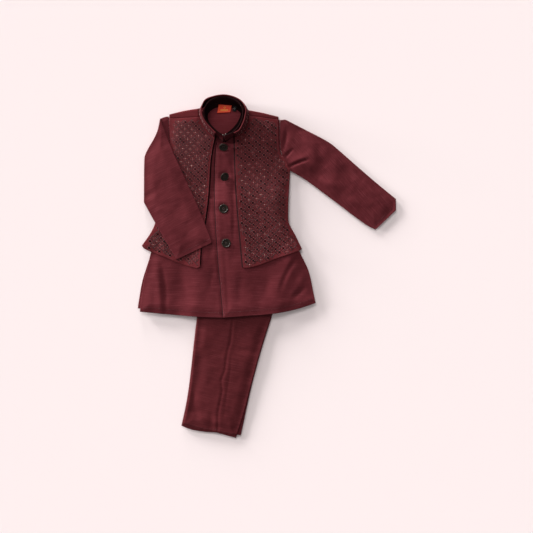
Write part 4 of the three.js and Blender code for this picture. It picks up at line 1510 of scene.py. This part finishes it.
def make_collars():
    slot = "embroidered_silk"
    # The kurta's band takes the dark painted shade on its rim too.
    kurta = make_collar("kurta_collar", KURTA_BAND, 25, "kurta_silk", PAINTED_SHADE)
    vest = make_collar("waistcoat_collar", VEST_BAND, 26, slot, VEST_SILK)
    # A dark sheet of painted shade lies inside the kurta's neck, where the collar shades it.
    neck_shade = new_object("kurta_neck_painted_shade", *kurta.neck_shade(NECK_SHADE_WIDTHS), PAINTED_SHADE)
    add_wall(neck_shade, 0.3 * MM)
    fit(neck_shade, "kurta_silk")
    face = vest.thick / 2 + 0.3 * MM
    # The collar's sequins all take the bright finish, a painted glint.
    rows = [vest.row(share, face, SEQUIN_SHAPE, 8.2, (1.1, 1.1, 1.1)) for share in (0.28, 0.62)]
    trim("waistcoat_collar_sequins", rows, SEQUIN_GLINT, slot)
    rows = [vest.row(share, face, STITCH, 4.1, (2.6, 0.8, 0.5)) for share in (0.18, 0.45, 0.74)]
    trim("waistcoat_collar_embroidery", rows, EMBROIDERY, slot)
    return kurta


def wire(path, radius, sides=8):
    """A round wire along a path, with closed ends."""
    frames = axes(np.gradient(path, axis=0), np.tile([0.0, 0.0, 1.0], (len(path), 1)))
    angles = [2 * math.pi * k / sides for k in range(sides)]
    ring = np.array([(0, math.cos(a), math.sin(a)) for a in angles]) * radius
    points = np.einsum("kij,nj->kni", frames, ring) + path[:, None, :]
    return points.reshape(-1, 3), lattice(len(path), sides) + ends(len(path), sides)


# Each wire's name, the station of the band that it is sewn to, and its first and last angle
FASTENERS = [("collar_hook", 1, -60, 230), ("collar_eye", -2, 0, 330)]
LOOP = 1.3 * MM
WIRE = 0.3 * MM


def make_hook_and_eye(band):
    """The collar's ends close with a wire hook on one and an eye on the other."""
    for name, end, first, last in FASTENERS:
        centre = band.high[end] + band.along[end] * 1.2 * MM + np.array([0, 0, 0.7 * MM])
        turn = np.radians(np.arange(first, last + 1, 15))
        path = centre + LOOP * np.column_stack([np.cos(turn), np.sin(turn), 0.2 * np.sin(turn)])
        fit(new_object(name, *wire(path, WIRE), STEEL), "button")


# Buttons, in millimetres

RADIUS = 10.0
THICK = 3.4
WELL = 2.1  # height of the dish's floor
HOLE = 1.05
HOLE_AT = 1.85  # from the middle, across and along
HOLE_SIDES = 14
SHANK = 3.2
SHANK_TIPPED = 6
# From the underside's flat, round the rim, into the dish
BUTTON_PROFILE = [
    (6.8, 0), (8.2, 0.25), (9.3, 0.8), (9.85, 1.6), (RADIUS, 2.2), (9.85, 2.8), (9.4, 3.2),
    (8.8, THICK), (8.2, 3.3), (7.7, 2.9), (7.2, 2.4), (6.4, 2.15), (5.2, 2.05), (3.9, WELL),
]


def circle(x, y, radius, sides):
    angles = [2 * math.pi * i / sides for i in range(sides)]
    return [(x + radius * math.cos(a), y + radius * math.sin(a)) for a in angles]


def button_mesh(sides=48):
    """A dished button with a rounded rim and four sewing holes."""
    points, faces = turned_shape(BUTTON_PROFILE, sides)
    faces = faces[:-2]
    made = [tuple(p) for p in points]
    places = [(x, y) for x in (-HOLE_AT, HOLE_AT) for y in (-HOLE_AT, HOLE_AT)]
    holes = [circle(x, y, HOLE, HOLE_SIDES) for x, y in places]
    flats = ((BUTTON_PROFILE[-1][0], WELL, 1), (BUTTON_PROFILE[0][0], 0.0, -1))
    for radius, height, side in flats:
        flat = circle(0, 0, radius, sides) + [p for hole in holes for p in hole]
        edges = []
        for h in range(len(holes)):
            first = sides + HOLE_SIDES * h
            edges += [(first + i, first + (i + 1) % HOLE_SIDES) for i in range(HOLE_SIDES)]
        cut = delaunay_2d_cdt([Vector(p) for p in flat], edges, [list(range(sides))], 1, 1e-6)
        spots = np.array([v[:] for v in cut[0]])
        first = len(made)
        made += [(x, y, height) for x, y in spots]
        for f in cut[2]:
            middle = spots[list(f)].mean(0)[None]
            if any(inside(middle, np.array(hole))[0] for hole in holes):
                continue
            upward = signed_area(spots[list(f)]) * side > 0
            faces.append(tuple(i + first for i in (f if upward else f[::-1])))
    for hole in holes:
        first = len(made)
        made += [(x, y, WELL) for x, y in hole] + [(x, y, 0.0) for x, y in hole]
        for i in range(HOLE_SIDES):
            j = (i + 1) % HOLE_SIDES
            faces.append((first + j, first + HOLE_SIDES + j, first + HOLE_SIDES + i, first + i))
    return np.array(made), faces


def button_thread(turn):
    """Stitches between the holes and a shank under them, turned as the button is."""
    up = turn @ np.array([0, 0, 1.0])
    parts = []
    for x, y, way in ((-HOLE_AT, 0, 1), (HOLE_AT, 0, 1), (0, -HOLE_AT, 0), (0, HOLE_AT, 0)):
        along = turn @ np.array([1.0 - way, way, 0.0])
        middle = turn @ np.array([x, y, WELL + 0.2]) * MM
        size = np.array([[2 * HOLE_AT + 0.9, 1.3, 1.0]]) * MM
        parts.append(stamped(STITCH, middle[None], axes(along[None], up[None]), size))
    # A tipped button is further from the cloth, so its shank is longer
    shank = SHANK + SHANK_TIPPED * math.hypot(up[0], up[1]) / up[2]
    points, faces = turned_shape([(1.7, -shank), (1.1, -shank / 2), (1.2, 0.1)], 12)
    parts.append((points @ turn.T * MM, faces))
    return joined(parts)


def make_buttons():
    points, faces = button_mesh()
    for button in BUTTONS:
        angles = (math.radians(button.tilt_x), math.radians(button.tilt_y), 0)
        turn = np.array(Euler(angles).to_matrix())
        low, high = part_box(button.node)
        turned = points @ turn.T * MM
        shift = np.array((low + high) / 2) - (turned.min(0) + turned.max(0)) / 2
        shift[2] = (support((turned + shift)[:, :2]) - turned[:, 2]).max() + CLEAR
        made = new_object(button.node + "_horn", turned + shift, faces, HORN)
        weld = made.modifiers.new("weld", "WELD")
        weld.merge_threshold = 0.01 * MM
        fit(made, "button", button.node)
        threads, thread_faces = button_thread(turn)
        thread = new_object(button.node + "_thread", threads + shift, thread_faces, BUTTON_THREAD)
        fit(thread, "button")


# Labels


TAG_LIFT = 1.2 * MM  # a tag hangs free along its lower edge


def make_tag(node, wide, high, corners, material, slot, bend):
    """A small woven tag. Its corners, in garment millimetres, go anticlockwise from low left."""
    half = np.array([wide, high]) / 2 * MM
    outline = np.array([(-1, -1), (1, -1), (1, 1), (-1, 1)]) * half
    region = Region(smooth_outline(outline, 0.8 * MM, rounds=1), 0.9 * MM)
    across, up = ((region.xy / half + 1) / 2).T[:, :, None]
    a, b, c, d = plan(*corners)
    place = (a * (1 - across) + b * across) * (1 - up) + (d * (1 - across) + c * across) * up
    side = region.xy[:, 0] / half[0]
    curl = bend * MM * (side**2 + 0.4 * np.sin(region.xy[:, 1] / MM * 0.5) + 0.4)
    low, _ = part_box(node)
    under = np.maximum(low.z, support(place) + CLEAR) + curl + TAG_LIFT * (1 - up[:, 0])
    roll = rounded(region, 0.3 * MM)
    layers = [np.column_stack([place, under + 0.6 * MM - roll]), np.column_stack([place, under])]
    uv = np.vstack([region.xy] * 2)
    made = new_object(node + "_weave", np.vstack(layers), two_layers(region), material, uv)
    surfaces[made.name] = tree_of(layers[0], region.faces)
    return fit(made, slot, node)


def make_tags():
    """Adds both tags, and the marks on the size tab. The size tab is too small to be a
    sheet, and is stated with the back.
    """
    corners = ((-16, 449.5), (13, 451.2), (16, 466.6), (-12.8, 469))
    label = make_tag("neck_label", 30, 19, corners, LABEL_WEAVE, "label", 0.25)
    corners = ((17.5, 453.6), (25.4, 452.5), (27.2, 465.4), (19.3, 466.5))
    tab = make_tag("size_tab", 8, 13, corners, TAB_WEAVE, "size_tab", 0.05)
    middle = plan((22.3, 459.5))
    marks = []
    for x, y, way in ((0, 1.4, 0), (0, -1.4, 0), (1.4, 0, 1), (-1.4, 0, 1)):
        at = middle + np.array([[x, y]]) * MM
        direction = np.array([[1.0 - way, way]])
        marks.append(laid_stitches(surfaces[tab.name], at, direction, (2.8, 0.9, 0.4)))
    return [tab, trim("size_tab_mark", marks, TAB_MARK, "size_tab")]


# Stage, light and camera

FIELD = 533 * 2.2 * MM  # what the photograph's frame takes in across the floor
PHOTO_CENTRE = plan((92.4, 112.4))[0]
HEIGHT = 3.2


def stage_floor():
    half = 4.0
    n = Nodes("stage_floor")
    n.set(Base_Color=srgb(248, 235, 235), Roughness=0.9, Specular_IOR_Level=0.1)
    corners = [(-half, -half, 0), (half, -half, 0), (half, half, 0), (-half, half, 0)]
    floor = new_object("stage_floor", corners, [(0, 1, 2, 3)], n.material, smooth=False)
    floor.location.z = -0.05 * MM


# Broad lamps that shine straight down and are then tipped about X and turned round Z, in degrees
Lamp = namedtuple("Lamp", "name energy tip turn spread color")
LAMPS = [
    Lamp("low_left", 5.2, 82, 222, 12, (1, 0.985, 0.98)),
    Lamp("low_top", 2.0, 82, 186, 12, (1, 0.985, 0.98)),
    Lamp("low_side", 3.8, 82, 256, 12, (1, 0.985, 0.98)),
    Lamp("key", 1.0, 46, 202, 24, (1, 0.99, 0.985)),
]


def light(lamp):
    data = bpy.data.lights.new(lamp.name, "SUN")
    data.energy = lamp.energy
    data.angle = math.radians(lamp.spread)
    data.color = lamp.color
    made = bpy.data.objects.new(lamp.name, data)
    made.rotation_euler = Euler([math.radians(a) for a in (lamp.tip, 0, lamp.turn)])
    bpy.context.scene.collection.objects.link(made)


def light_and_camera():
    for lamp in LAMPS:
        light(lamp)
    world = bpy.data.worlds.new("studio")
    world.use_nodes = True
    back = world.node_tree.nodes["Background"]
    back.inputs[0].default_value = (1, 0.985, 0.98, 1)
    back.inputs[1].default_value = 0.36
    bpy.context.scene.world = world
    bpy.context.scene.view_settings.view_transform = "Standard"

    lens = bpy.data.cameras.new("camera")
    lens.sensor_width = 36
    lens.lens = 36 * HEIGHT / FIELD
    lens.clip_end = 30
    camera = bpy.data.objects.new("camera", lens)
    camera.location = (PHOTO_CENTRE[0], PHOTO_CENTRE[1], HEIGHT)
    bpy.context.scene.collection.objects.link(camera)
    bpy.context.scene.camera = camera


# The whole suit, from the surface up

leg = make_pyjama()
vest_back_region, vest_back = make_vest_back()
kurta_back_region, kurta_back = make_kurta_back()
front_right, front_left = make_kurta_fronts()
make_sleeve_left()
vest_right = make_vest_front("waistcoat_front_right")
vest_left = make_vest_front("waistcoat_front_left")
shoulders = make_shoulders()
fit(vest_back, "kurta_silk", "waistcoat_back")
make_sleeve_right()
collar = make_collars()
make_hook_and_eye(collar)
make_buttons()
tab = make_tags()
stage_floor()
light_and_camera()
